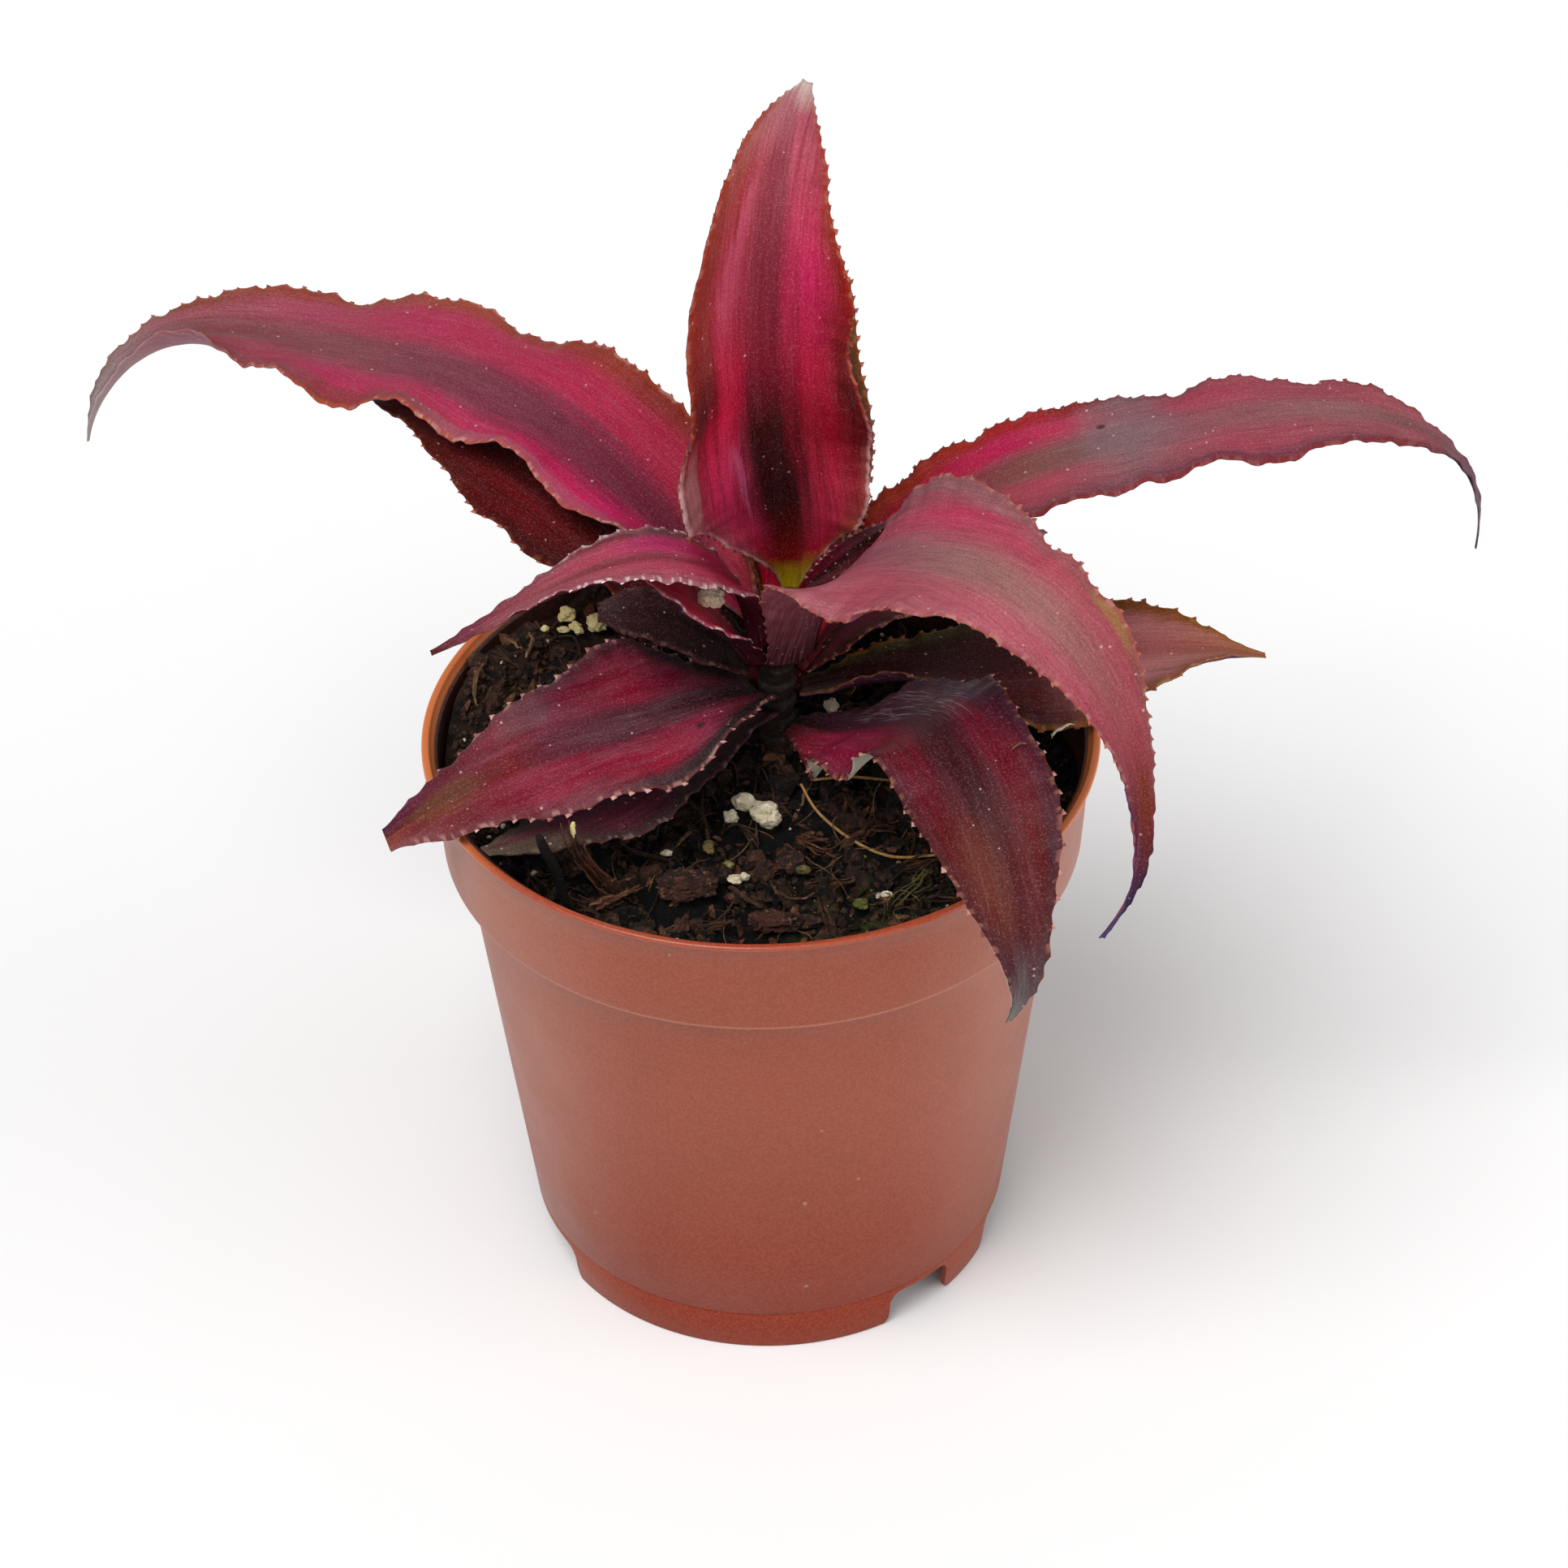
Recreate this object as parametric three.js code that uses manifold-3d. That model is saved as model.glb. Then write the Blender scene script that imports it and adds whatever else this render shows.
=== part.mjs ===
// Earth star bromeliad in a thin plastic nursery pot.
//
// Millimetres, +Z up. The origin is the centre of the pot's foot on the ground, the plant's
// front faces -Y. Every leaf, the stem, the compost, the loose grains on it and the pot are
// separate closed solids that keep a small clearance to each other.
import * as THREE from 'three';
import { mergeVertices } from 'three/addons/utils/BufferGeometryUtils.js';
import Module from 'manifold-3d';

const wasm = await Module();
wasm.setup();

// ---------------------------------------------------------------- driving dimensions
const CLEARANCE = 0.3; // between neighbouring pieces
const ROUND_STEPS = 64; // facets round the pot and the compost

const POT_HEIGHT = 82.8;
const LIP_RADIUS = 45; // a 9 cm pot
const LIP_HEIGHT = 0.8;
const LIP_WIDTH = 1.1;
const COLLAR_TOP_RADIUS = 43.8;
const COLLAR_FOOT_RADIUS = 42.9;
const COLLAR_FOOT_HEIGHT = 67.3;
const BODY_TOP_RADIUS = 40.4;
const FOOT_RADIUS = 32.35;
const WALL = 0.8;
const EDGE_ROUND = 0.3; // the moulding's softened edges
const FLOOR_DISC_RADIUS = 20; // the flat middle of the floor stands on the ground
const FLOOR_CHANNEL_RADIUS = 24; // from here out the floor is raised for drainage
const CHANNEL_HEIGHT = 7;
const NOTCH_HEIGHT = 6;
const DRAIN_NOTCHES = [[-60, -42], [-24, 34], [120, 138], [156, 214]]; // degrees round the foot

const STEM_AXIS = new THREE.Vector2(2.2, 8.8); // the plant stands a little behind the middle
const STEM_RADIUS = 2.6;
const STEM_FOOT = 60;
const STEM_TOP = 97;
const STEM_SIDES = 20;
const SHEATH_COLLARS = 6; // stumps of shed leaf sheaths
const SHEATH_STEP = 0.5;
const SHEATH_HEIGHT = 1.6;

const SOIL_LEVEL = 72;
const BANK_HEIGHT = 7; // the compost is heaped against the pot at the back left
const SOIL_RINGS = 15;

const BLADE_EDGE_THICKNESS = 0.6;
const BLADE_RIB_THICKNESS = 1.1;
const TOOTH_LENGTH = 0.8;
const TOOTH_PITCH = 4.2;
const AGED_BELOW = 86; // leaves that leave the stem lower than this are old and dark

// ---------------------------------------------------------------- leaves
// length, widths (base, each sixth of the length, tip) and base (height on the stem) are in
// millimetres, the rest in degrees: rise of the midrib over the horizontal, turn of the
// midrib round the stem (0 is +X, 90 is +Y), roll of the blade about its midrib, and cup,
// the half angle of the blade's hollow. skew widens the left half against the right one.
// waves are the margins' ripples, left then right: height, number along the leaf, phase.
const LEAVES = [
  { name: 'leaf_upright', base: 97, length: 81,
    widths: [2.5, 22, 30.5, 27, 23.5, 13.5, 1.5], rise: [82, 106, 102, 85, 48, 6],
    turn: [58, 75, 78, 73], roll: [31, 29, 20], cup: [32, 62, 48], skew: [0, 0.2, 0],
    waves: [[1.3, 4.7, -0.12], [1.7, 4.2, 0.5]] },
  { name: 'leaf_back_shaded', base: 94, length: 64,
    widths: [8, 19, 22.5, 19, 16, 9, 1], rise: [57, 45, 33, 22, 14, 10],
    turn: [81, 86, 87, 89], roll: [8, 3, -1], cup: [53, 28, 30], skew: [-0.2, 0, -0.1],
    waves: [[0.8, 4, 0], [0.8, 4, 0.5]] },
  { name: 'leaf_left_long', base: 91.5, length: 122,
    widths: [3, 24, 26, 27, 29, 16, 1], rise: [31, 23, 5, -7, 0, -75],
    turn: [132, 139, 164, 216], roll: [-5, -1, 12], cup: [54, 4, 79], skew: [-0.1, 0.05, 0.35],
    waves: [[1.8, 5.9, 0.35], [1.6, 4.8, 0.63]] },
  { name: 'leaf_front_left_arching', base: 91, length: 59,
    widths: [3.5, 10.5, 11.5, 10, 7, 3.5, 1], rise: [94, 60, 26, -7, -23, -22],
    turn: [220, 207, 201, 194], roll: [-3, -5, -6], cup: [50, 9, 35], skew: [0, 0, 0],
    waves: [[1.1, 1.5, 0.2], [0.5, 1.9, 0.3]] },
  { name: 'leaf_left_cupped', base: 90, length: 26,
    widths: [8, 8, 11, 11.5, 8.5, 3.5, 1], rise: [68, 58, 51, 49, 41, 23],
    turn: [218, 208, 194, 181], roll: [2, -7, -12], cup: [62, 29, 33], skew: [0, 0, 0],
    waves: [[0, 1, 0], [0, 1, 0]] },
  { name: 'leaf_front_right_arching', base: 90.9, length: 114,
    widths: [10, 19, 26.5, 15.5, 9, 2.5, 1], rise: [79, 42, 18, -44, -86, -118],
    turn: [-50, -48, -38, -30], roll: [3, 24, 41], cup: [45, 15, 45], skew: [-0.1, 0, 0.05],
    waves: [[1.9, 3.35, 0.29], [2.3, 3.7, -0.29]] },
  { name: 'leaf_right_long', base: 87.5, length: 118,
    widths: [7.5, 16, 21.5, 16.5, 14.5, 5, 1], rise: [61, 47, 16, 4, -30, -95],
    turn: [2, 2, 8, 3], roll: [2, 6, 14], cup: [46, 1, 21], skew: [0.1, 0, 0.05],
    waves: [[0.6, 5.85, -0.2], [0.8, 6.2, -0.2]] },
  { name: 'leaf_left_stub', base: 87.5, length: 22,
    widths: [7, 10, 11.5, 10, 9, 7.5, 3], rise: [39, 37, 32, 22, 8, -9],
    turn: [181, 182, 180, 176], roll: [-13, -14, -26], cup: [35, 13, 23], skew: [0, 0, 0],
    waves: [[0, 1, 0], [0, 1, 0]] },
  { name: 'leaf_left_dark', base: 86.5, length: 71,
    widths: [10, 15.5, 18, 21, 15.5, 7, 1], rise: [34, 27, 17, 13, 4, -16],
    turn: [148, 144, 142, 140], roll: [-12, -9, -6], cup: [40, 13, 28], skew: [0, 0.05, 0],
    waves: [[0.8, 4, 0.2], [0.8, 4, 0.6]] },
  { name: 'leaf_front_left_broad', base: 84, length: 58,
    widths: [9, 18.5, 25.5, 22, 16.5, 11.5, 4], rise: [23, 10, 7, -5, -21, -34],
    turn: [223, 214, 203, 192], roll: [-1, -15, -13], cup: [36, 9, 4], skew: [-0.2, 0.05, 0.25],
    waves: [[1, 3.65, 0.44], [1.2, 2.85, 0.46]] },
  { name: 'leaf_back_right_low', base: 84.5, length: 46,
    widths: [6, 12, 15.5, 16, 12, 7, 1], rise: [25, 15, 4, -4, -10, -16],
    turn: [42, 40, 38, 36], roll: [0, 0, 0], cup: [34, 18, 20], skew: [0, 0, 0],
    waves: [[0.8, 3, 0.1], [0.8, 3, 0.6]] },
  { name: 'leaf_right_brown', base: 82.5, length: 63,
    widths: [4.5, 9, 16, 22.5, 20, 10, 1], rise: [16, 10, 6, 4, -5, -16],
    turn: [-1, -1, 2, 7], roll: [-2, 9, 10], cup: [37, 7, 37], skew: [0.05, -0.05, 0],
    waves: [[0.9, 3, -0.22], [3, 1.5, 0.9]] },
  { name: 'leaf_back_left_low', base: 82, length: 52,
    widths: [6, 13, 17, 17, 13, 7, 1], rise: [23, 14, 5, -2, -9, -14],
    turn: [116, 118, 121, 124], roll: [0, 0, 0], cup: [35, 18, 20], skew: [0, 0, 0],
    waves: [[0.8, 3, 0.5], [0.8, 3, 0.9]] },
  { name: 'leaf_front_left_lowest', base: 80.5, length: 49,
    widths: [7, 10.5, 14, 16, 13, 7.5, 2], rise: [7, 1, -1, 3, 9, 15],
    turn: [225, 225, 222, 219], roll: [5, 0, -3], cup: [37, 7, 1], skew: [0, 0.05, 0.1],
    waves: [[0.6, 3, 0], [0.6, 3, 0.4]] },
  { name: 'leaf_back_low', base: 80, length: 44,
    widths: [6, 11, 14.5, 15, 12, 6.5, 1], rise: [21, 13, 6, -1, -7, -14],
    turn: [78, 78, 80, 82], roll: [-2, -1, 0], cup: [34, 17, 20], skew: [0, 0, 0],
    waves: [[0.8, 3, 0.3], [0.8, 3, 0.7]] },
  { name: 'leaf_front_right_low', base: 78.5, length: 89,
    widths: [4, 16.5, 23.5, 19.5, 18, 8, 1], rise: [21, 37, 29, -20, -63, -120],
    turn: [-49, -64, -69, -58], roll: [17, 13, 7], cup: [1, 4, 48], skew: [-0.15, 0.05, 0],
    waves: [[1, 4.6, 0.22], [2, 4.6, 0.1]] },
];

const COLORS = {
  pot: 0x9b5a4b,
  soil: 0x2b1f1a,
  stem: 0x4a3427,
  leaf: 0x9c2c50,
  agedLeaf: 0x6b2b3c,
  perlite: 0xd8d2c4,
  bark: 0x4e3226,
  fibre: 0xb08a5a,
};

// ---------------------------------------------------------------- helpers
const radians = THREE.MathUtils.degToRad;
const { sin, cos, exp, max, min, round, floor, sign, PI } = Math;
const clamp = THREE.MathUtils.clamp;

/** Smooth curve through evenly spaced values, read at s from 0 to 1. */
function along(values, s) {
  const last = values.length - 1;
  const x = clamp(s, 0, 1) * last;
  const i = min(floor(x), last - 1);
  const t = x - i;
  const at = (k) => values[clamp(k, 0, last)];
  const [a, b, c, d] = [at(i - 1), at(i), at(i + 1), at(i + 2)];
  const bend = 2 * a - 5 * b + 4 * c - d;
  const twist = -a + 3 * b - 3 * c + d;
  return 0.5 * (2 * b + (c - a) * t + bend * t * t + twist * t * t * t);
}

/** Closed triangle mesh from a list of points and a list of index triples. */
function closedMesh(points, triangles) {
  const geometry = new THREE.BufferGeometry();
  geometry.setAttribute('position', new THREE.Float32BufferAttribute(points.flat(), 3));
  geometry.setIndex(triangles.flat());
  return geometry;
}

/** Manifold solid of a closed geometry, for cutting and joining. */
function solid(geometry) {
  const bare = geometry.clone();
  bare.deleteAttribute('normal');
  bare.deleteAttribute('uv');
  const merged = mergeVertices(bare, 1e-4);
  return new wasm.Manifold(new wasm.Mesh({
    numProp: 3,
    vertProperties: new Float32Array(merged.attributes.position.array),
    triVerts: new Uint32Array(merged.index.array),
  }));
}

function geometryOf(manifold) {
  const mesh = manifold.getMesh();
  const geometry = new THREE.BufferGeometry();
  geometry.setAttribute('position', new THREE.BufferAttribute(mesh.vertProperties, 3));
  geometry.setIndex(new THREE.BufferAttribute(mesh.triVerts, 1));
  return geometry;
}

function piece(name, geometry, color, roughness) {
  const material = new THREE.MeshStandardMaterial({ color, roughness, metalness: 0 });
  const mesh = new THREE.Mesh(geometry, material);
  mesh.name = name;
  return mesh;
}

/** Body of revolution about +Z from [radius, height] points that start and end on the axis. */
function turned(profile, steps = ROUND_STEPS) {
  const outline = profile.map(([r, z]) => new THREE.Vector2(r, z));
  return new THREE.LatheGeometry(outline, steps).rotateX(PI / 2);
}

// ---------------------------------------------------------------- pot
const bodyRadius = (z) => FOOT_RADIUS + (BODY_TOP_RADIUS - FOOT_RADIUS) * z / COLLAR_FOOT_HEIGHT;
const innerRadius = (z) => bodyRadius(z) - WALL;
const collarInnerRadius = (z) => {
  const share = (z - COLLAR_FOOT_HEIGHT) / (POT_HEIGHT - COLLAR_FOOT_HEIGHT);
  return COLLAR_FOOT_RADIUS + (COLLAR_TOP_RADIUS - COLLAR_FOOT_RADIUS) * share - WALL;
};

/** A wedge-shaped block that opens the foot between two angles. */
function notchCutter([from, to]) {
  const arc = new THREE.Shape();
  const reach = 4; // past the wall on both sides, and below the ground
  arc.absarc(0, 0, FOOT_RADIUS + reach, radians(from), radians(to), false);
  arc.absarc(0, 0, FOOT_RADIUS - reach, radians(to), radians(from), true);
  arc.closePath();
  const depth = NOTCH_HEIGHT + reach;
  const block = new THREE.ExtrudeGeometry(arc, { depth, bevelEnabled: false, curveSegments: 10 });
  return block.translate(0, 0, -reach);
}

function makePot() {
  const channelTop = CHANNEL_HEIGHT + WALL;
  const lipFoot = POT_HEIGHT - LIP_HEIGHT;
  const shell = turned([
    [0, 0],
    [FLOOR_DISC_RADIUS, 0],
    [FLOOR_CHANNEL_RADIUS, CHANNEL_HEIGHT],
    [innerRadius(CHANNEL_HEIGHT), CHANNEL_HEIGHT],
    [innerRadius(0), 0],
    [FOOT_RADIUS, 0],
    [bodyRadius(CHANNEL_HEIGHT), CHANNEL_HEIGHT],
    [BODY_TOP_RADIUS, COLLAR_FOOT_HEIGHT],
    [COLLAR_FOOT_RADIUS - EDGE_ROUND, COLLAR_FOOT_HEIGHT],
    [COLLAR_FOOT_RADIUS, COLLAR_FOOT_HEIGHT + EDGE_ROUND],
    [COLLAR_TOP_RADIUS, lipFoot],
    [LIP_RADIUS, lipFoot + EDGE_ROUND],
    [LIP_RADIUS, POT_HEIGHT - EDGE_ROUND],
    [LIP_RADIUS - EDGE_ROUND, POT_HEIGHT],
    [LIP_RADIUS - LIP_WIDTH, POT_HEIGHT],
    [collarInnerRadius(lipFoot), lipFoot - EDGE_ROUND],
    [COLLAR_FOOT_RADIUS - WALL, COLLAR_FOOT_HEIGHT + WALL],
    [innerRadius(COLLAR_FOOT_HEIGHT), COLLAR_FOOT_HEIGHT + WALL],
    [innerRadius(channelTop), channelTop],
    [FLOOR_CHANNEL_RADIUS - WALL, channelTop],
    [FLOOR_DISC_RADIUS - WALL, WALL],
    [0, WALL],
  ]);
  let pot = solid(shell);
  for (const notch of DRAIN_NOTCHES) {
    pot = pot.subtract(solid(notchCutter(notch)));
  }
  return piece('pot', geometryOf(pot), COLORS.pot, 0.55);
}

// ---------------------------------------------------------------- compost
/** Height of the compost's lumpy surface. */
function soilHeight(x, y) {
  const swell = 0.7 * sin(0.16 * x + 1) * cos(0.13 * y - 0.6);
  const lumps = 0.5 * sin(0.55 * x + 0.9 * sin(0.31 * y)) * sin(0.48 * y + 2);
  const crumbs = 0.28 * sin(1.3 * x + 0.8) * sin(1.15 * y + 1.1 * sin(0.7 * x));
  const mound = 1.2 * exp(-((x - STEM_AXIS.x) ** 2 + (y - STEM_AXIS.y) ** 2) / 260);
  const bank = BANK_HEIGHT * THREE.MathUtils.smoothstep(-0.78 * x + 0.63 * y, 22, 41);
  return SOIL_LEVEL + swell + lumps + crumbs + mound + bank;
}

function makeSoil() {
  const gap = CLEARANCE;
  const shoulder = COLLAR_FOOT_HEIGHT + WALL + gap;
  const edge = collarInnerRadius(SOIL_LEVEL) - gap;
  const floorTop = CHANNEL_HEIGHT + WALL + gap;
  const side = [
    [edge, SOIL_LEVEL],
    [COLLAR_FOOT_RADIUS - WALL - gap, shoulder],
    [innerRadius(COLLAR_FOOT_HEIGHT) - gap, shoulder],
    [innerRadius(floorTop) - gap, floorTop],
    [FLOOR_CHANNEL_RADIUS - WALL - gap, floorTop],
    [FLOOR_DISC_RADIUS - WALL - gap, WALL + gap],
  ];
  const points = [];
  const triangles = [];
  const ring = (radius, height) => {
    const first = points.length;
    for (let k = 0; k < ROUND_STEPS; k += 1) {
      const a = 2 * PI * k / ROUND_STEPS;
      const [x, y] = [radius * cos(a), radius * sin(a)];
      points.push([x, y, height(x, y)]);
    }
    return first;
  };
  const band = (upper, lower) => {
    for (let k = 0; k < ROUND_STEPS; k += 1) {
      const n = (k + 1) % ROUND_STEPS;
      triangles.push([upper + k, lower + k, lower + n], [upper + k, lower + n, upper + n]);
    }
  };
  points.push([0, 0, soilHeight(0, 0)]);
  let last = ring(edge / SOIL_RINGS, soilHeight);
  for (let k = 0; k < ROUND_STEPS; k += 1) {
    triangles.push([0, last + k, last + (k + 1) % ROUND_STEPS]);
  }
  for (let i = 2; i <= SOIL_RINGS; i += 1) {
    const next = ring(edge * i / SOIL_RINGS, soilHeight);
    band(last, next);
    last = next;
  }
  for (const [radius, z] of side.slice(1)) {
    const next = ring(radius, () => z);
    band(last, next);
    last = next;
  }
  const middle = points.length;
  points.push([0, 0, WALL + gap]);
  for (let k = 0; k < ROUND_STEPS; k += 1) {
    triangles.push([middle, last + (k + 1) % ROUND_STEPS, last + k]);
  }
  const holeLength = STEM_TOP - STEM_FOOT;
  const hole = new THREE.CylinderGeometry(
    STEM_RADIUS + gap,
    STEM_RADIUS + gap,
    holeLength,
    STEM_SIDES,
  )
    .rotateX(PI / 2)
    .translate(STEM_AXIS.x, STEM_AXIS.y, STEM_FOOT - gap + holeLength / 2);
  const soil = solid(closedMesh(points, triangles)).subtract(solid(hole));
  return piece('soil', geometryOf(soil), COLORS.soil, 0.95);
}

// ---------------------------------------------------------------- stem
/** The short stem, with the stumps of shed sheaths as low collars. */
function makeStem() {
  const outline = [[0, STEM_FOOT], [STEM_RADIUS - SHEATH_STEP, STEM_FOOT]];
  const span = STEM_TOP - STEM_FOOT - 3 * SHEATH_HEIGHT;
  for (let i = 0; i <= SHEATH_COLLARS; i += 1) {
    const z = STEM_FOOT + SHEATH_HEIGHT + span * i / SHEATH_COLLARS;
    outline.push([STEM_RADIUS - SHEATH_STEP, z], [STEM_RADIUS, z + 0.9 * SHEATH_HEIGHT]);
  }
  outline.push([STEM_RADIUS / 2, STEM_TOP], [0, STEM_TOP]);
  const stem = turned(outline, STEM_SIDES).translate(STEM_AXIS.x, STEM_AXIS.y, 0);
  return piece('stem', stem, COLORS.stem, 0.9);
}

// ---------------------------------------------------------------- leaf blades
/** Places along the midrib: point, across (left), up (upper side) and the local sizes. */
function midrib(leaf, steps) {
  const stations = [];
  const start = radians(leaf.turn[0]);
  const cup = radians(leaf.cup[0]);
  const hollow = leaf.widths[0] / 2 * (1 - cos(cup)) / cup;
  const steepness = max(sin(radians(leaf.rise[0])), 0);
  const radius = STEM_RADIUS + CLEARANCE + steepness * (BLADE_RIB_THICKNESS / 2 + hollow);
  const point = new THREE.Vector3(
    STEM_AXIS.x + radius * cos(start),
    STEM_AXIS.y + radius * sin(start),
    leaf.base,
  );
  let before = null;
  for (let i = 0; i <= steps; i += 1) {
    const s = i / steps;
    const rise = radians(along(leaf.rise, s));
    const turn = radians(along(leaf.turn, s));
    const roll = radians(along(leaf.roll, s));
    const ahead = new THREE.Vector3(cos(rise) * cos(turn), cos(rise) * sin(turn), sin(rise));
    const level = new THREE.Vector3(-sin(turn), cos(turn), 0);
    const lift = new THREE.Vector3().crossVectors(ahead, level);
    if (before) {
      point.addScaledVector(before.clone().add(ahead), leaf.length / steps / 2);
    }
    before = ahead;
    stations.push({
      s,
      point: point.clone(),
      left: level.clone().multiplyScalar(cos(roll)).addScaledVector(lift, sin(roll)),
      up: lift.clone().multiplyScalar(cos(roll)).addScaledVector(level, -sin(roll)),
      half: max(along(leaf.widths, s), 1) / 2,
      cup: max(radians(along(leaf.cup, s)), 0.01),
      skew: along(leaf.skew, s),
    });
  }
  return stations;
}

/** Point and surface normal of the blade at station q, u from -1 (right) to 1 (left). */
function bladePoint(leaf, q, u, extra = 0) {
  const half = q.half * (1 + q.skew * u);
  const across = half * sin(q.cup * u) / q.cup;
  const hollow = half * (1 - cos(q.cup * u)) / q.cup;
  const [height, count, phase] = leaf.waves[u > 0 ? 0 : 1];
  const fade = clamp(q.s / 0.15, 0, 1) * clamp((1 - q.s) / 0.3, 0, 1);
  const ripple = height * fade * sin(2 * PI * (count * q.s + phase)) * u * u;
  const outward = q.left.clone().multiplyScalar(cos(q.cup * u)).addScaledVector(q.up, sin(q.cup * u));
  const normal = q.up.clone().multiplyScalar(cos(q.cup * u)).addScaledVector(q.left, -sin(q.cup * u));
  const place = q.point.clone()
    .addScaledVector(q.left, across)
    .addScaledVector(q.up, hollow + ripple)
    .addScaledVector(outward, extra * sign(u));
  return { place, normal };
}

/** A leaf blade: two faces split alike, with a tooth on each margin at every step. */
function makeLeaf(leaf) {
  const steps = max(6, round(leaf.length / TOOTH_PITCH));
  const stations = midrib(leaf, 2 * steps);
  const points = [];
  const faces = [];
  /** Adds the upper and lower vertex of one place and gives the upper one's index. */
  const vertex = (q, u, extra = 0) => {
    const { place, normal } = bladePoint(leaf, q, u, extra);
    const rib = (BLADE_RIB_THICKNESS - BLADE_EDGE_THICKNESS) * (1 - u * u) * (1 - 0.5 * q.s);
    const t = (BLADE_EDGE_THICKNESS + rib) / 2;
    points.push(place.clone().addScaledVector(normal, t).toArray());
    points.push(place.clone().addScaledVector(normal, -t).toArray());
    return points.length - 2;
  };
  const face = (a, b, c) => {
    faces.push([a, b, c], [a + 1, c + 1, b + 1]);
  };
  const wall = (a, b) => {
    faces.push([a, a + 1, b + 1], [a, b + 1, b]);
  };
  const columns = [-1, -0.5, 0, 0.5, 1];
  const rows = [];
  const peaks = []; // the teeth, between the rows
  for (let i = 0; i <= steps; i += 1) {
    rows.push(columns.map((u) => vertex(stations[2 * i], u)));
  }
  for (let i = 0; i < steps; i += 1) {
    const q = stations[2 * i + 1];
    const tooth = TOOTH_LENGTH * clamp(q.s / 0.1, 0, 1) * clamp((1.05 - q.s) / 0.1, 0.3, 1);
    peaks.push([vertex(q, -1, tooth), vertex(q, 1, tooth)]);
  }
  for (let i = 0; i < steps; i += 1) {
    const [near, far] = [rows[i], rows[i + 1]];
    for (const k of [1, 2]) {
      face(near[k], far[k], far[k + 1]);
      face(near[k], far[k + 1], near[k + 1]);
    }
    const [right, left] = peaks[i];
    face(near[0], right, near[1]);
    face(right, far[1], near[1]);
    face(right, far[0], far[1]);
    face(near[4], near[3], left);
    face(left, near[3], far[3]);
    face(left, far[3], far[4]);
    wall(near[0], right);
    wall(right, far[0]);
    wall(left, near[4]);
    wall(far[4], left);
  }
  for (let k = 0; k < 4; k += 1) {
    wall(rows[0][k + 1], rows[0][k]);
    wall(rows[steps][k], rows[steps][k + 1]);
  }
  return closedMesh(points, faces);
}

// ---------------------------------------------------------------- loose pieces
/** Repeatable random numbers from 0 to 1. */
function randomSource(seed) {
  let state = seed;
  return () => {
    state = (state * 16807) % 2147483647;
    return state / 2147483647;
  };
}

/** A lumpy grain: an icosahedron with its corners pushed in and out. */
function grain(size, [sx, sy, sz], seed, detail = 1) {
  const random = randomSource(seed);
  const bare = new THREE.IcosahedronGeometry(size / 2, detail);
  bare.deleteAttribute('normal');
  bare.deleteAttribute('uv');
  const lump = mergeVertices(bare, 1e-4);
  const place = lump.attributes.position;
  for (let i = 0; i < place.count; i += 1) {
    const k = 0.86 + 0.28 * random();
    place.setXYZ(i, place.getX(i) * k * sx, place.getY(i) * k * sy, place.getZ(i) * k * sz);
  }
  return lump;
}

const GRAINS = [
  { name: 'perlite_large', at: [0.6, -8], size: 4.2, shape: [1, 0.95, 0.9], seed: 11 },
  { name: 'perlite_beside', at: [-4.2, -7.2], size: 2.3, shape: [1, 0.9, 0.9], seed: 23 },
  { name: 'perlite_left', at: [-22.3, 28.4], size: 3.2, shape: [1, 1, 0.85], seed: 37 },
  { name: 'perlite_left_edge', at: [-26.4, 29.4], size: 2.6, shape: [1.1, 0.9, 0.9], seed: 41 },
  { name: 'perlite_right', at: [9.6, 15.6], size: 2.5, shape: [1, 0.8, 1], seed: 53 },
];
const CUPPED_GRAIN = { at: [-6.3, 2.6, 102.5], size: 3.5, shape: [1, 0.9, 0.9], seed: 59 };
const CHIPS = [
  { name: 'bark_chip_front', at: [-10.5, -22], size: 8, shape: [1.05, 0.75, 0.3], seed: 61 },
  { name: 'bark_chip_right', at: [1.5, -28.5], size: 7, shape: [1, 0.55, 0.35], seed: 67 },
  { name: 'bark_chip_left', at: [-25, -15], size: 6, shape: [0.8, 1.1, 0.4], seed: 73 },
];
const FIBRES = [
  { name: 'root_fibre_curved', radius: 0.3,
    route: [[5.2, -1.6, 0.6], [7.4, -6.6, 0.4], [11.8, -11.8, 0.3], [17, -15, 0.3], [23, -16, 0.3]] },
  { name: 'root_fibre_straight', radius: 0.3, route: [[6.8, -0.2, 0.4], [11.5, 0.4, 0.6], [17, 1, 0.4]] },
];

/** Sets a lump down on the compost so that it keeps the clearance to it. */
function settled(geometry, [x, y]) {
  const place = geometry.attributes.position;
  let lift = -Infinity;
  for (let i = 0; i < place.count; i += 1) {
    const ground = soilHeight(x + place.getX(i), y + place.getY(i));
    lift = max(lift, ground - place.getZ(i));
  }
  return geometry.translate(x, y, lift + CLEARANCE);
}

/** A dry root thread that lies over the compost. */
function makeFibre(name, points, radius) {
  const route = new THREE.CatmullRomCurve3(points.map(([x, y, lift]) => (
    new THREE.Vector3(x, y, soilHeight(x, y) + radius + CLEARANCE + lift))));
  const section = new THREE.Shape();
  section.absarc(0, 0, radius, 0, 2 * PI, false);
  const settings = { steps: 26, extrudePath: route, curveSegments: 3, bevelEnabled: false };
  return piece(name, new THREE.ExtrudeGeometry(section, settings), COLORS.fibre, 0.8);
}

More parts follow.
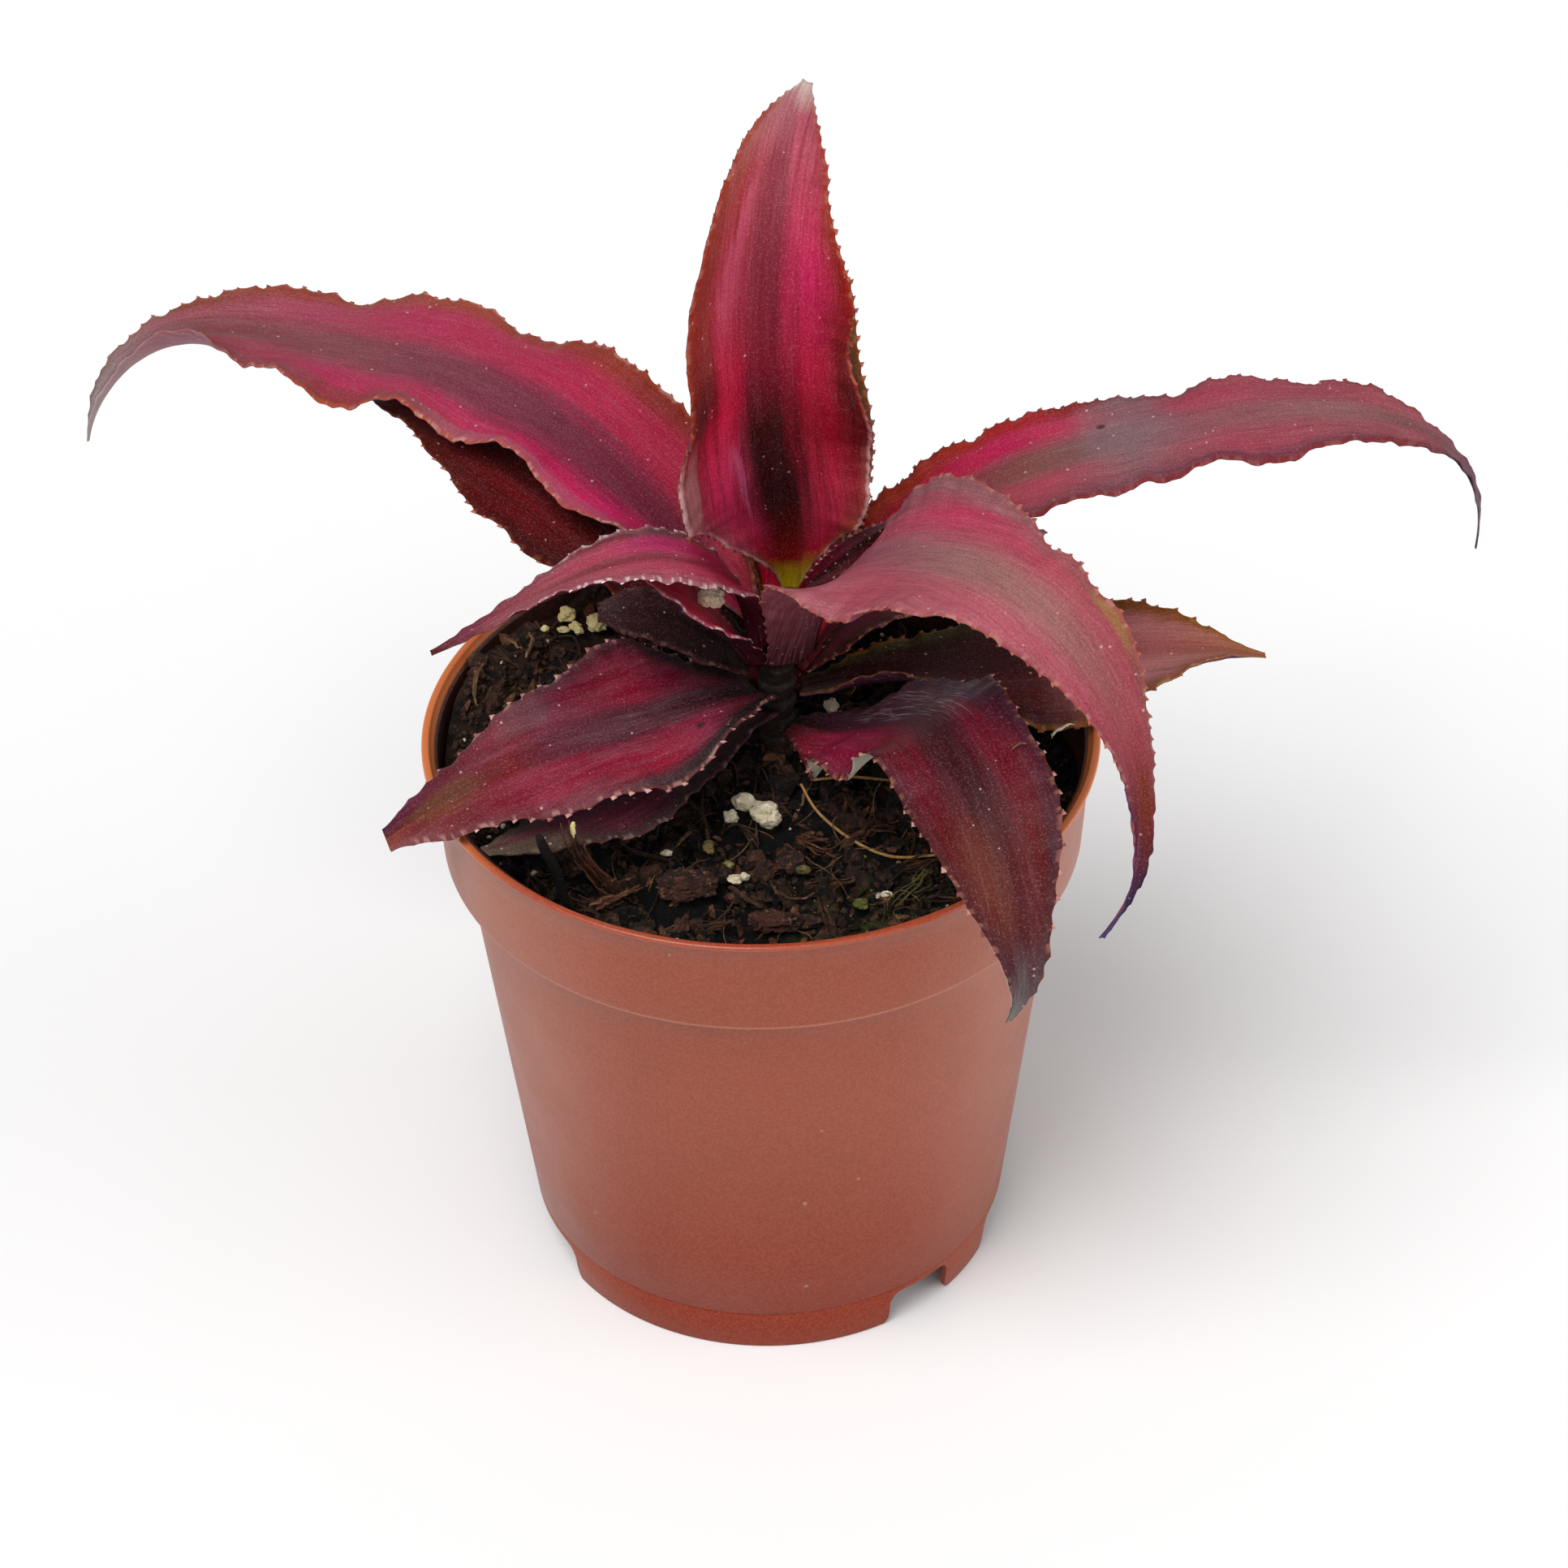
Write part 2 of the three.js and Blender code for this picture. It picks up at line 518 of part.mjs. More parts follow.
// ---------------------------------------------------------------- the object
const plant = new THREE.Group();
plant.name = 'earth_star';
plant.add(makePot());
plant.add(makeSoil());
plant.add(makeStem());
for (const leaf of LEAVES) {
  const color = leaf.base < AGED_BELOW ? COLORS.agedLeaf : COLORS.leaf;
  plant.add(piece(leaf.name, makeLeaf(leaf), color, 0.5));
}
for (const { name, at, size, shape, seed } of GRAINS) {
  plant.add(piece(name, settled(grain(size, shape, seed), at), COLORS.perlite, 0.9));
}
const cupped = grain(CUPPED_GRAIN.size, CUPPED_GRAIN.shape, CUPPED_GRAIN.seed)
  .translate(...CUPPED_GRAIN.at);
plant.add(piece('perlite_cupped', cupped, COLORS.perlite, 0.9));
for (const { name, route, radius } of FIBRES) {
  plant.add(makeFibre(name, route, radius));
}
for (const { name, at, size, shape, seed } of CHIPS) {
  plant.add(piece(name, settled(grain(size, shape, seed), at), COLORS.bark, 0.9));
}

export default plant;
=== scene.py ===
# %% [markdown]
# # An earth star bromeliad in its nursery pot
# A small rosette of stiff, wavy leaves with finely toothed edges, in a thin terracotta-coloured
# plastic pot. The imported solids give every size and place. Each cell below dresses one of them:
# first the shape, then the finish.

import math

import bmesh
import bpy
import numpy as np
from mathutils import Matrix, Vector, noise


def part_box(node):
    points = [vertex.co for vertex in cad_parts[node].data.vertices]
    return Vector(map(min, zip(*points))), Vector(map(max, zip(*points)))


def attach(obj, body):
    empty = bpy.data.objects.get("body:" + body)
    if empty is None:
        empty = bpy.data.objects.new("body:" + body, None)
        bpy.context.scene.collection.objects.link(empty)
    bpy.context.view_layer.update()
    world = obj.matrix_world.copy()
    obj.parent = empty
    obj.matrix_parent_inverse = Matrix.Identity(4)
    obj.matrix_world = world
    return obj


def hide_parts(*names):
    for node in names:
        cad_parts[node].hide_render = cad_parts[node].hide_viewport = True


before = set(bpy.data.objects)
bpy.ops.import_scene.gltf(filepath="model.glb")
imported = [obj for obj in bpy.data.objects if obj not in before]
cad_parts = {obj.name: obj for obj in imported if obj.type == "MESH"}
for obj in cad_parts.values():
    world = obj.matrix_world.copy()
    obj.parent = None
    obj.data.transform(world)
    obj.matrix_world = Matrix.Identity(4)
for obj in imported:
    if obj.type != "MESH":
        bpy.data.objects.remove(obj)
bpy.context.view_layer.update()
MM = 0.001

# %% [markdown]
# ## Camera
# The camera looks down on the plant from the front, from about two thirds of a metre away,
# with a lens long enough that the pot keeps its true taper. It could be aimed with a Track To
# constraint, but a matrix made from three directions is exact and needs no helper object.

# %% Camera
ELEVATION = math.radians(38.43)
LEAN = math.radians(-0.97)
AIM = Vector((0, 0, 60))
DISTANCE, ASIDE, RAISED = 659.6, 2.77, 10.52  # from AIM, in millimetres
SENSOR, FOCAL_LENGTH = 36, 111.8

ahead = Vector((0, math.cos(ELEVATION), -math.sin(ELEVATION)))
level = Vector((1, 0, 0))
above = level.cross(ahead)
right = level * math.cos(LEAN) + above * math.sin(LEAN)
top = above * math.cos(LEAN) - level * math.sin(LEAN)
place = AIM - ahead * DISTANCE + right * ASIDE + top * RAISED

lens = bpy.data.cameras.new("camera")
lens.sensor_width = SENSOR
lens.lens = FOCAL_LENGTH
lens.clip_end = 20
camera = bpy.data.objects.new("camera", lens)
bpy.context.scene.collection.objects.link(camera)
turn = Matrix((right, top, -ahead)).transposed()
camera.matrix_world = Matrix.Translation(place * MM) @ turn.to_4x4()
bpy.context.scene.camera = camera
print("camera at", [round(v, 1) for v in place], "mm")

# %% [markdown]
# ## Floor and light
# A plain pale floor and a wide soft light from above, as for a catalogue picture. A bright world
# fills the shadows from all sides. The view transform stays Standard, because the others grey
# the strong pinks of the leaves.

# %% Floor, world and lamps
scene = bpy.context.scene
scene.view_settings.view_transform = "Standard"
scene.view_settings.exposure = 0.0

world = bpy.data.worlds.new("studio")
scene.world = world
world.use_nodes = True
sky = world.node_tree.nodes["Background"]
sky.inputs["Color"].default_value = (1, 1, 1, 1)
sky.inputs["Strength"].default_value = 0.42


def soft_sun(name, towards, spread, strength):
    """Light that comes from one side all over, with soft shadows."""
    lamp = bpy.data.lights.new(name, "SUN")
    lamp.angle = math.radians(spread)
    lamp.energy = strength
    holder = bpy.data.objects.new(name, lamp)
    scene.collection.objects.link(holder)
    holder.rotation_euler = Vector(towards).to_track_quat("Z", "Y").to_euler()
    return holder


soft_sun("lamp_above", (-0.35, -0.45, 1.0), 40, 2.5)
soft_sun("lamp_front", (0.35, -1.0, 0.5), 60, 0.5)
soft_sun("lamp_side", (1.0, -0.3, 0.3), 50, 1.1)

FLOOR_REACH = 4
floor_corners = [(x * FLOOR_REACH, y * FLOOR_REACH, 0) for x, y in ((-1, -1), (1, -1), (1, 1), (-1, 1))]
floor_mesh = bpy.data.meshes.new("floor")
floor_mesh.from_pydata(floor_corners, [], [(0, 1, 2, 3)])
floor = bpy.data.objects.new("floor", floor_mesh)
scene.collection.objects.link(floor)

# %% [markdown]
# ## Small helpers
# A finish is a tree of shader nodes. Wiring nodes by hand takes three lines each, so `Paint`
# keeps one material and gives short methods for the few kinds that come back again and again.


# %% Colour and shader helpers
def srgb(code):
    """The linear colour of a code such as the Hex field of Blender's colour picker shows."""
    def linear(v):
        v = v / 255
        return v / 12.92 if v <= 0.04045 else ((v + 0.055) / 1.055) ** 2.4
    return (*(linear(int(code[i:i + 2], 16)) for i in (0, 2, 4)), 1.0)


class Wiring:
    """Short ways to add nodes to one tree."""

    def __init__(self, tree):
        self.tree = tree

    def add(self, kind, **inputs):
        made = self.tree.nodes.new(kind)
        for name, value in inputs.items():
            self.feed(made.inputs[name.replace("_", " ")], value)
        return made

    def feed(self, socket, value):
        if isinstance(value, bpy.types.NodeSocket):
            self.tree.links.new(value, socket)
        else:
            socket.default_value = value

    def sum(self, how, a, b=0.0, c=0.0):
        """One Math node."""
        made = self.tree.nodes.new("ShaderNodeMath")
        made.operation = how
        for k, value in enumerate((a, b, c)):
            self.feed(made.inputs[k], value)
        return made.outputs[0]

    def times(self, a, b):
        return self.sum("MULTIPLY", a, b)

    def plus(self, a, b):
        return self.sum("ADD", a, b)

    def minus(self, a, b):
        return self.sum("SUBTRACT", a, b)

    def scaled(self, a, factor, offset):
        return self.sum("MULTIPLY_ADD", a, factor, offset)

    def parts(self, vector):
        """The X, Y and Z of a vector."""
        return self.add("ShaderNodeSeparateXYZ", Vector=vector).outputs

    def step(self, value, low, high, out_low=0.0, out_high=1.0):
        """A smooth step from out_low to out_high as value goes from low to high."""
        made = self.tree.nodes.new("ShaderNodeMapRange")
        made.interpolation_type = "SMOOTHSTEP"
        for name, v in (("Value", value), ("From Min", low), ("From Max", high),
                        ("To Min", out_low), ("To Max", out_high)):
            self.feed(made.inputs[name], v)
        return made.outputs["Result"]

    def mix(self, share, a, b):
        """Two colours mixed by a share from 0 to 1."""
        made = self.tree.nodes.new("ShaderNodeMix")
        made.data_type = "RGBA"
        for k, value in ((0, share), (6, a), (7, b)):
            self.feed(made.inputs[k], value)
        return made.outputs[2]

    def ramp(self, share, stops):
        """A colour ramp from (position, colour) stops."""
        made = self.tree.nodes.new("ShaderNodeValToRGB")
        keys = made.color_ramp.elements
        while len(keys) < len(stops):
            keys.new(0.5)
        for key, (position, colour) in zip(keys, stops):
            key.position = position
            key.color = colour
        self.feed(made.inputs[0], share)
        return made.outputs[0]

    def level(self, share, marks):
        """A value from -1 to 1 that follows {percent: value} marks."""
        grey = self.ramp(share, [(at / 100, ((v + 1) / 2,) * 3 + (1,)) for at, v in marks.items()])
        return self.scaled(grey, 2.0, -1.0)

    def noise(self, where, scale, detail=2.0, rough=0.5):
        made = self.add("ShaderNodeTexNoise", Vector=where, Scale=scale, Detail=detail, Roughness=rough)
        return made.outputs["Fac"]

    def stretch(self, where, x, y, z):
        """Coordinates scaled along each axis."""
        return self.add("ShaderNodeMapping", Vector=where, Scale=(x, y, z)).outputs[0]


class Paint(Wiring):
    """A new material with its Principled shader and the usual coordinates."""

    def __init__(self, name):
        self.material = bpy.data.materials.new(name)
        self.material.use_nodes = True
        super().__init__(self.material.node_tree)
        self.shader = self.tree.nodes["Principled BSDF"]
        self.object = self.add("ShaderNodeTexCoord").outputs["Object"]

    def finish(self, colour, rough, height=None, depth=0.0002, specular=0.5):
        self.feed(self.shader.inputs["Base Color"], colour)
        self.feed(self.shader.inputs["Roughness"], rough)
        self.shader.inputs["Specular IOR Level"].default_value = specular
        if height is not None:
            bump = self.add("ShaderNodeBump", Height=height, Strength=1.0, Distance=depth)
            self.feed(self.shader.inputs["Normal"], bump.outputs["Normal"])
        return self.material


def group_tree(name, inputs, outputs):
    """A shader group with its sockets, and the wiring, input and output nodes to fill it."""
    tree = bpy.data.node_groups.new(name, "ShaderNodeTree")
    for label, kind, value in inputs:
        socket = tree.interface.new_socket(label, in_out="INPUT", socket_type=kind)
        if value is not None:
            socket.default_value = value
    for label, kind in outputs:
        tree.interface.new_socket(label, in_out="OUTPUT", socket_type=kind)
    wiring = Wiring(tree)
    return tree, wiring, tree.nodes.new("NodeGroupInput"), tree.nodes.new("NodeGroupOutput")


FLOAT, VECTOR, COLOUR = "NodeSocketFloat", "NodeSocketVector", "NodeSocketColor"

p = Paint("floor_white")
floor_tone = p.mix(p.noise(p.object, 3.0), (0.8, 0.8, 0.8, 1), (0.82, 0.82, 0.82, 1))
floor_mesh.materials.append(p.finish(floor_tone, 0.8))
print("floor finish has", len(p.tree.nodes), "nodes")

# %% [markdown]
# ## Mesh helpers
# A finished piece is one plain mesh whose object stands at the origin. `show` hangs it on the body
# it rides on and hides the solids that it takes the place of.


# %% Mesh helpers
def piece_of(name, mesh, materials=()):
    """A new piece with this mesh and these finishes, standing at the origin."""
    for material in materials:
        mesh.materials.append(material)
    piece = bpy.data.objects.new(name, mesh)
    scene.collection.objects.link(piece)
    return piece


def mesh_object(name, points, faces, materials=()):
    """A piece from points in millimetres."""
    mesh = bpy.data.meshes.new(name)
    mesh.from_pydata((np.asarray(points, float) * MM).tolist(), [], [list(f) for f in faces])
    return piece_of(name, mesh, materials)


def write_marks(piece, label, values, kind="FLOAT"):
    """Gives each point of a piece a value, or a vector, that a tree or a finish can read."""
    mark = piece.data.attributes.new(label, kind, "POINT")
    mark.data.foreach_set("value" if kind == "FLOAT" else "vector", np.asarray(values, np.float32).ravel())


def smooth(piece, sharp_degrees=None):
    piece.data.shade_smooth()
    if sharp_degrees is not None:
        piece.data.set_sharp_from_angle(angle=math.radians(sharp_degrees))


def show(piece, slot, *nodes):
    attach(piece, "root")
    if nodes:
        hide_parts(*nodes)
    triangles = sum(len(p.vertices) - 2 for p in piece.data.polygons)
    print(f"{piece.name}: {triangles} triangles")
    return piece


def plain_mesh(piece):
    """Applies the piece's modifiers: its evaluated mesh takes their place."""
    bpy.context.view_layer.update()
    graph = bpy.context.evaluated_depsgraph_get()
    result = bpy.data.meshes.new_from_object(piece.evaluated_get(graph))
    piece.modifiers.clear()
    piece.data = result
    return piece


def run_tree(piece, tree, **values):
    """Runs a Geometry Nodes tree on a piece, with inputs given by name, and keeps the result."""
    modifier = piece.modifiers.new(tree.name, "NODES")
    modifier.node_group = tree
    for item in tree.interface.items_tree:
        if item.item_type == "SOCKET" and item.in_out == "INPUT" and item.name in values:
            modifier[item.identifier] = values.pop(item.name)
    assert not values, values
    return plain_mesh(piece)


def face_out(piece):
    """Turns all faces outwards."""
    work = bmesh.new()
    work.from_mesh(piece.data)
    bmesh.ops.recalc_face_normals(work, faces=work.faces)
    work.to_mesh(piece.data)
    work.free()


def geometry_tree(name, inputs):
    """A Geometry Nodes tree with named inputs, a geometry input and a geometry output."""
    tree = bpy.data.node_groups.new(name, "GeometryNodeTree")
    tree.interface.new_socket("Geometry", in_out="INPUT", socket_type="NodeSocketGeometry")
    tree.interface.new_socket("Geometry", in_out="OUTPUT", socket_type="NodeSocketGeometry")
    for label, kind, value in inputs:
        socket = tree.interface.new_socket(label, in_out="INPUT", socket_type=kind)
        if value is not None:
            socket.default_value = value
    return tree, Wiring(tree), tree.nodes.new("NodeGroupInput"), tree.nodes.new("NodeGroupOutput")


def read_mark(wire, label, kind="FLOAT"):
    """The node output that gives a value written with `write_marks`."""
    made = wire.tree.nodes.new("GeometryNodeInputNamedAttribute")
    made.data_type = kind
    made.inputs["Name"].default_value = label
    return made.outputs[0]


def random_value(wire, given, low, high, salt=0, kind="FLOAT"):
    """A random value for each point, from the tree's seed and the salt of this use."""
    made = wire.tree.nodes.new("FunctionNodeRandomValue")
    made.data_type = kind
    first, out = (0, 0) if kind == "FLOAT_VECTOR" else (2, 1)
    wire.feed(made.inputs[first], low)
    wire.feed(made.inputs[first + 1], high)
    wire.feed(made.inputs["Seed"], wire.plus(given.outputs["Seed"], float(salt)))
    return made.outputs[out]


def end_tree(wire, given, result, geometry):
    """Ends a tree: real geometry instead of instances, in the material that is asked for."""
    real = wire.add("GeometryNodeRealizeInstances", Geometry=geometry)
    dress = wire.add("GeometryNodeSetMaterial", Geometry=real.outputs[0], Material=given.outputs["Material"])
    wire.feed(result.inputs["Geometry"], dress.outputs[0])
    return wire.tree


print("a millimetre is", MM, "of Blender's units")

# %% [markdown]
# ## The pot's shape
# A thin injection-moulded pot is a shape of revolution: one closed wall section turned about the
# axis. Spin or a Screw modifier would do it. A Geometry Nodes tree is used here, because the same
# tree turns the stem too: a grid is rolled up, each row reads its radius and height from the
# section, and the seam and the poles are merged shut.


# %% The turning tree
def make_turning_tree():
    tree, wire, given, result = geometry_tree("turned_section", [
        ("Sides", "NodeSocketInt", 256), ("Material", "NodeSocketMaterial", None)])
    add, times, plus = wire.add, wire.times, wire.plus
    section = given.outputs["Geometry"]
    rows = add("GeometryNodeAttributeDomainSize", Geometry=section).outputs["Point Count"]
    grid = add("GeometryNodeMeshGrid", Vertices_X=plus(given.outputs["Sides"], 1), Vertices_Y=rows)
    spot = wire.parts(add("GeometryNodeInputPosition").outputs[0])
    angle = times(plus(spot["X"], 0.5), 2 * math.pi)
    row = wire.sum("ROUND", times(plus(spot["Y"], 0.5), wire.minus(rows, 1)))
    read = tree.nodes.new("GeometryNodeSampleIndex")
    read.data_type = "FLOAT_VECTOR"
    wire.feed(read.inputs["Geometry"], section)
    wire.feed(read.inputs["Value"], add("GeometryNodeInputPosition").outputs[0])
    wire.feed(read.inputs["Index"], row)
    part = wire.parts(read.outputs["Value"])
    turned = add("ShaderNodeCombineXYZ", X=times(part["X"], wire.sum("COSINE", angle)),
                 Y=times(part["X"], wire.sum("SINE", angle)), Z=part["Z"])
    move = add("GeometryNodeSetPosition", Geometry=grid.outputs["Mesh"], Position=turned.outputs[0])
    merge = add("GeometryNodeMergeByDistance", Geometry=move.outputs[0], Distance=1e-6)
    return end_tree(wire, given, result, merge.outputs[0])


turning_tree = make_turning_tree()


def turned_piece(name, section, sides, material):
    """A closed solid of revolution from [radius, height] points that start and end on the axis."""
    piece = mesh_object(name, [(r, 0, z) for r, z in section], [])
    run_tree(piece, turning_tree, Sides=sides, Material=material)
    face_out(piece)
    return piece


print("turning tree has", len(turning_tree.nodes), "nodes")

# %% [markdown]
# ## The pot's finish
# Recycled terracotta-coloured plastic: nearly even, slightly mottled and dusty, with fine
# scratches and a brighter, glossier lip. Painted light lies over it: a paler line along the collar's
# lower edge that is a painted highlight, a painted sheen on the flanks, a painted glow at the lip's
# sides, and painted shade near the foot and inside the rim. All of it follows height and angle, so it
# reads Object coordinates.

# %% Shared shader groups: mottle and dust
mottle_group, m, mottle_in, mottle_out = group_tree(
    "mottle",
    [("Where", VECTOR, None), ("Base", COLOUR, None), ("Other", COLOUR, None),
     ("Scale", FLOAT, 60.0), ("Amount", FLOAT, 0.5)],
    [("Colour", COLOUR), ("Tone", FLOAT)])
broad = m.noise(mottle_in.outputs["Where"], mottle_in.outputs["Scale"], 5.0, 0.6)
other_share = m.times(m.step(broad, 0.35, 0.68), mottle_in.outputs["Amount"])
m.feed(mottle_out.inputs["Colour"], m.mix(other_share, mottle_in.outputs["Base"], mottle_in.outputs["Other"]))
m.feed(mottle_out.inputs["Tone"], broad)

speck_group, k, speck_in, speck_out = group_tree(
    "specks",
    [("Where", VECTOR, None), ("Scale", FLOAT, 900.0), ("Share", FLOAT, 0.1), ("Size", FLOAT, 0.3)],
    [("Mask", FLOAT)])
cells = k.add("ShaderNodeTexVoronoi", Vector=speck_in.outputs["Where"], Scale=speck_in.outputs["Scale"])
chance = k.add("ShaderNodeSeparateColor", Color=cells.outputs["Color"])
present = k.sum("LESS_THAN", chance.outputs[0], speck_in.outputs["Share"])
dot_size = k.times(speck_in.outputs["Size"], k.plus(0.4, chance.outputs[1]))
depth_in_dot = k.minus(1.0, k.sum("DIVIDE", cells.outputs["Distance"], dot_size))
k.feed(speck_out.inputs["Mask"], k.times(present, k.step(depth_in_dot, 0.0, 0.35)))


def use_group(paint, tree, **inputs):
    made = paint.tree.nodes.new("ShaderNodeGroup")
    made.node_tree = tree
    for name, value in inputs.items():
        paint.feed(made.inputs[name], value)
    return made.outputs


print("groups:", mottle_group.name, speck_group.name)

# %% [markdown]
# The pot's own material starts from one mottled brown. Each line below lays one thing over it:
# painted shade near the foot, a painted sheen on the flanks, the bright lip with a painted glow at
# its sides, a painted highlight along the collar edge, painted shade inside the rim above the
# compost, and the dust and scratches that handling has left. A mask decides where, a colour decides
# what.

# %% Pot paint
POT_HEIGHT = 82.8
COLLAR_FOOT = 67.3
COLLAR_FOOT_RADIUS = 42.9
WALL = 0.8
TAPER = 0.058  # how much the collar's radius grows with height


def make_pot_paint():
    p = Paint("pot_plastic")
    spot = p.parts(p.object)
    height, side = spot["Z"], p.sum("ABSOLUTE", spot["X"])
    body = use_group(p, mottle_group, Where=p.object, Base=srgb("893718"),
                     Other=srgb("833b1f"), Scale=45.0, Amount=0.8)
    # darker towards the foot: painted shade against the light that the floor throws up
    low = p.step(height, 0.0, 0.055, 0.85, 0.0)
    colour = p.mix(low, body["Colour"], srgb("782209"))
    # paler to both sides, left and right: a painted sheen
    painted_side_sheen = p.step(side, 15 * MM, 38 * MM, 0.0, 0.34)
    colour = p.mix(painted_side_sheen, colour, srgb("b87e6a"))
    lip = p.step(height, (POT_HEIGHT - 1.3) * MM, (POT_HEIGHT - 0.9) * MM)
    # towards its sides the lip turns a light orange: a painted glow
    painted_lip_glow = p.step(side, 30 * MM, 44 * MM)
    colour = p.mix(lip, colour, p.mix(painted_lip_glow, srgb("963c1f"), srgb("cc703a")))
    # a paler line along the collar's lower edge: a painted highlight
    edge = p.sum("ABSOLUTE", p.minus(height, (COLLAR_FOOT + 0.25) * MM))
    painted_collar_highlight = p.step(edge, 0.08 * MM, 0.4 * MM, 0.28, 0.0)
    colour = p.mix(painted_collar_highlight, colour, srgb("c48c78"))
    # the inner wall between the compost and the lip turns near-black: painted shade
    flat = p.add("ShaderNodeCombineXYZ", X=spot["X"], Y=spot["Y"])
    reach = p.add("ShaderNodeVectorMath", Vector=flat.outputs[0])
    reach.operation = "LENGTH"
    wall = p.scaled(height, TAPER, (COLLAR_FOOT_RADIUS - WALL / 2 - TAPER * COLLAR_FOOT) * MM)
    within = p.step(p.minus(reach.outputs["Value"], wall), 0.15 * MM, -0.15 * MM)
    within = p.times(within, p.step(height, 69 * MM, 70 * MM))
    within = p.times(within, p.step(height, (POT_HEIGHT - 0.15) * MM, (POT_HEIGHT - 0.7) * MM))
    painted_rim_shade = p.step(p.noise(p.object, 130.0, 4.0, 0.7), 0.25, 0.5, 0.84, 0.98)
    colour = p.mix(p.times(within, painted_rim_shade), colour, srgb("22120e"))
    dust = use_group(p, speck_group, Where=p.object, Scale=420.0, Share=0.02, Size=0.13)
    colour = p.mix(p.times(dust["Mask"], 0.25), colour, srgb("cdb4a5"))
    grain = p.noise(p.object, 2400.0, 3.0, 0.8)
    colour = p.mix(p.step(grain, 0.4, 0.62, 0.0, 0.16), colour, srgb("b0705c"))
    colour = p.mix(p.step(grain, 0.55, 0.36, 0.0, 0.14), colour, srgb("6e3222"))
    scratch = p.noise(p.stretch(p.object, 300, 300, 25), 1.0, 3.0, 0.6)
    fine = p.noise(p.object, 2600.0, 2.0)
    height_map = p.plus(p.times(scratch, 0.25), p.times(fine, 0.3))
    rough = p.step(body["Tone"], 0.3, 0.7, 0.36, 0.5)
    rough = p.minus(rough, p.times(lip, 0.12))
    p.feed(p.shader.inputs["Specular IOR Level"], p.step(height, 0.0, 0.05, 0.15, 0.42))
    return p.finish(colour, rough, height_map, 0.00003)


pot_paint = make_pot_paint()
print("pot paint has", len(pot_paint.node_tree.nodes), "nodes")

# %% [markdown]
# The section runs from the middle of the floor outwards, down round the foot, up the outside with
# its collar and rolled lip, and down the inside again. Every corner of a moulded part is a little
# rounded, so short arcs stand where a drawing would have a plain corner.

# %% The pot's wall section
FOOT_RADIUS = 32.35
BODY_TOP_RADIUS = 40.4
COLLAR_TOP_RADIUS = 43.8
LIP_RADIUS = 45.0
CHANNEL_HEIGHT = 7.0
SOIL_LEVEL = 72.0
FLOOR_INNER, FLOOR_OUTER = 20.2, 23.9  # the raised floor's step, above the channel round the foot


def body_radius(z):
    return FOOT_RADIUS + (BODY_TOP_RADIUS - FOOT_RADIUS) * z / COLLAR_FOOT


def collar_inner_radius(z):
    share = (z - COLLAR_FOOT) / (POT_HEIGHT - COLLAR_FOOT)
    return COLLAR_FOOT_RADIUS + (COLLAR_TOP_RADIUS - COLLAR_FOOT_RADIUS) * share - WALL


def arc(cx, cz, radius, start, stop, steps=6):
    """Points on an arc in the section, angles in degrees."""
    turns = np.radians(np.linspace(start, stop, steps))
    return [(cx + radius * math.cos(a), cz + radius * math.sin(a)) for a in turns]


pot_section = [
    (0, 0), (10, 0), (FLOOR_INNER - 0.5, 0), (FLOOR_INNER, 0.3),
    (FLOOR_OUTER, CHANNEL_HEIGHT - 0.3), (FLOOR_OUTER + 0.5, CHANNEL_HEIGHT),
    (body_radius(7) - WALL, CHANNEL_HEIGHT), (body_radius(0) - WALL, 0.1),
    *arc(FOOT_RADIUS - 0.35, 0.3, 0.3, -120, -10, 5),
    (body_radius(3), 3), (body_radius(6.75), 6.75),
    (body_radius(6.95) - 0.14, 6.95), (body_radius(7.15), 7.15),
    (body_radius(20), 20), (body_radius(40), 40), (body_radius(60), 60),
    (body_radius(66.7), 66.7), (BODY_TOP_RADIUS + 0.15, 67.1), (BODY_TOP_RADIUS + 0.5, COLLAR_FOOT),
    (COLLAR_FOOT_RADIUS - 0.5, COLLAR_FOOT),
    *arc(COLLAR_FOOT_RADIUS - 0.3, COLLAR_FOOT + 0.3, 0.3, -90, 0, 5),
    (COLLAR_FOOT_RADIUS + 0.3, 72), (COLLAR_FOOT_RADIUS + 0.6, 77),
    (COLLAR_TOP_RADIUS - 0.05, POT_HEIGHT - 1.2), (COLLAR_TOP_RADIUS + 0.25, POT_HEIGHT - 0.85),
    *arc(LIP_RADIUS - 0.4, POT_HEIGHT - 0.4, 0.4, -80, 90, 8),
    *arc(LIP_RADIUS - 0.75, POT_HEIGHT - 0.35, 0.35, 95, 180, 5),
    (collar_inner_radius(POT_HEIGHT - 1), POT_HEIGHT - 1.2), (collar_inner_radius(76), 76),
    (COLLAR_FOOT_RADIUS - WALL, COLLAR_FOOT + WALL), (body_radius(COLLAR_FOOT) - WALL, COLLAR_FOOT + WALL),
    (body_radius(40) - WALL, 40), (body_radius(8) - WALL, CHANNEL_HEIGHT + WALL),
    (23.2, CHANNEL_HEIGHT + WALL), (19.2, WALL), (0, WALL),
]
pot = turned_piece("nursery_pot", pot_section, 288, pot_paint)
print("pot section:", len(pot_section), "points")

# %% [markdown]
# ## Drainage notches
# The foot band is cut away in four places so that water can leave. Cutting is what a Boolean
# modifier is for: one mesh of wedge blocks takes all four notches out at once.

# %% Cut the notches
NOTCHES = [(-60, -42), (-24, 34), (120, 138), (156, 214)]  # degrees round the axis
NOTCH_INNER, NOTCH_OUTER = 28.4, 36.4
# height in millimetres and how many degrees wider the notch is there: its corners are rounded
NOTCH_SIDE = [(-3, 1.8), (0, 1.8), (0.4, 0.8), (1.2, 0.15), (2.4, 0), (4.4, 0), (5.3, -0.7),
              (5.8, -1.7), (6.0, -3.2)]


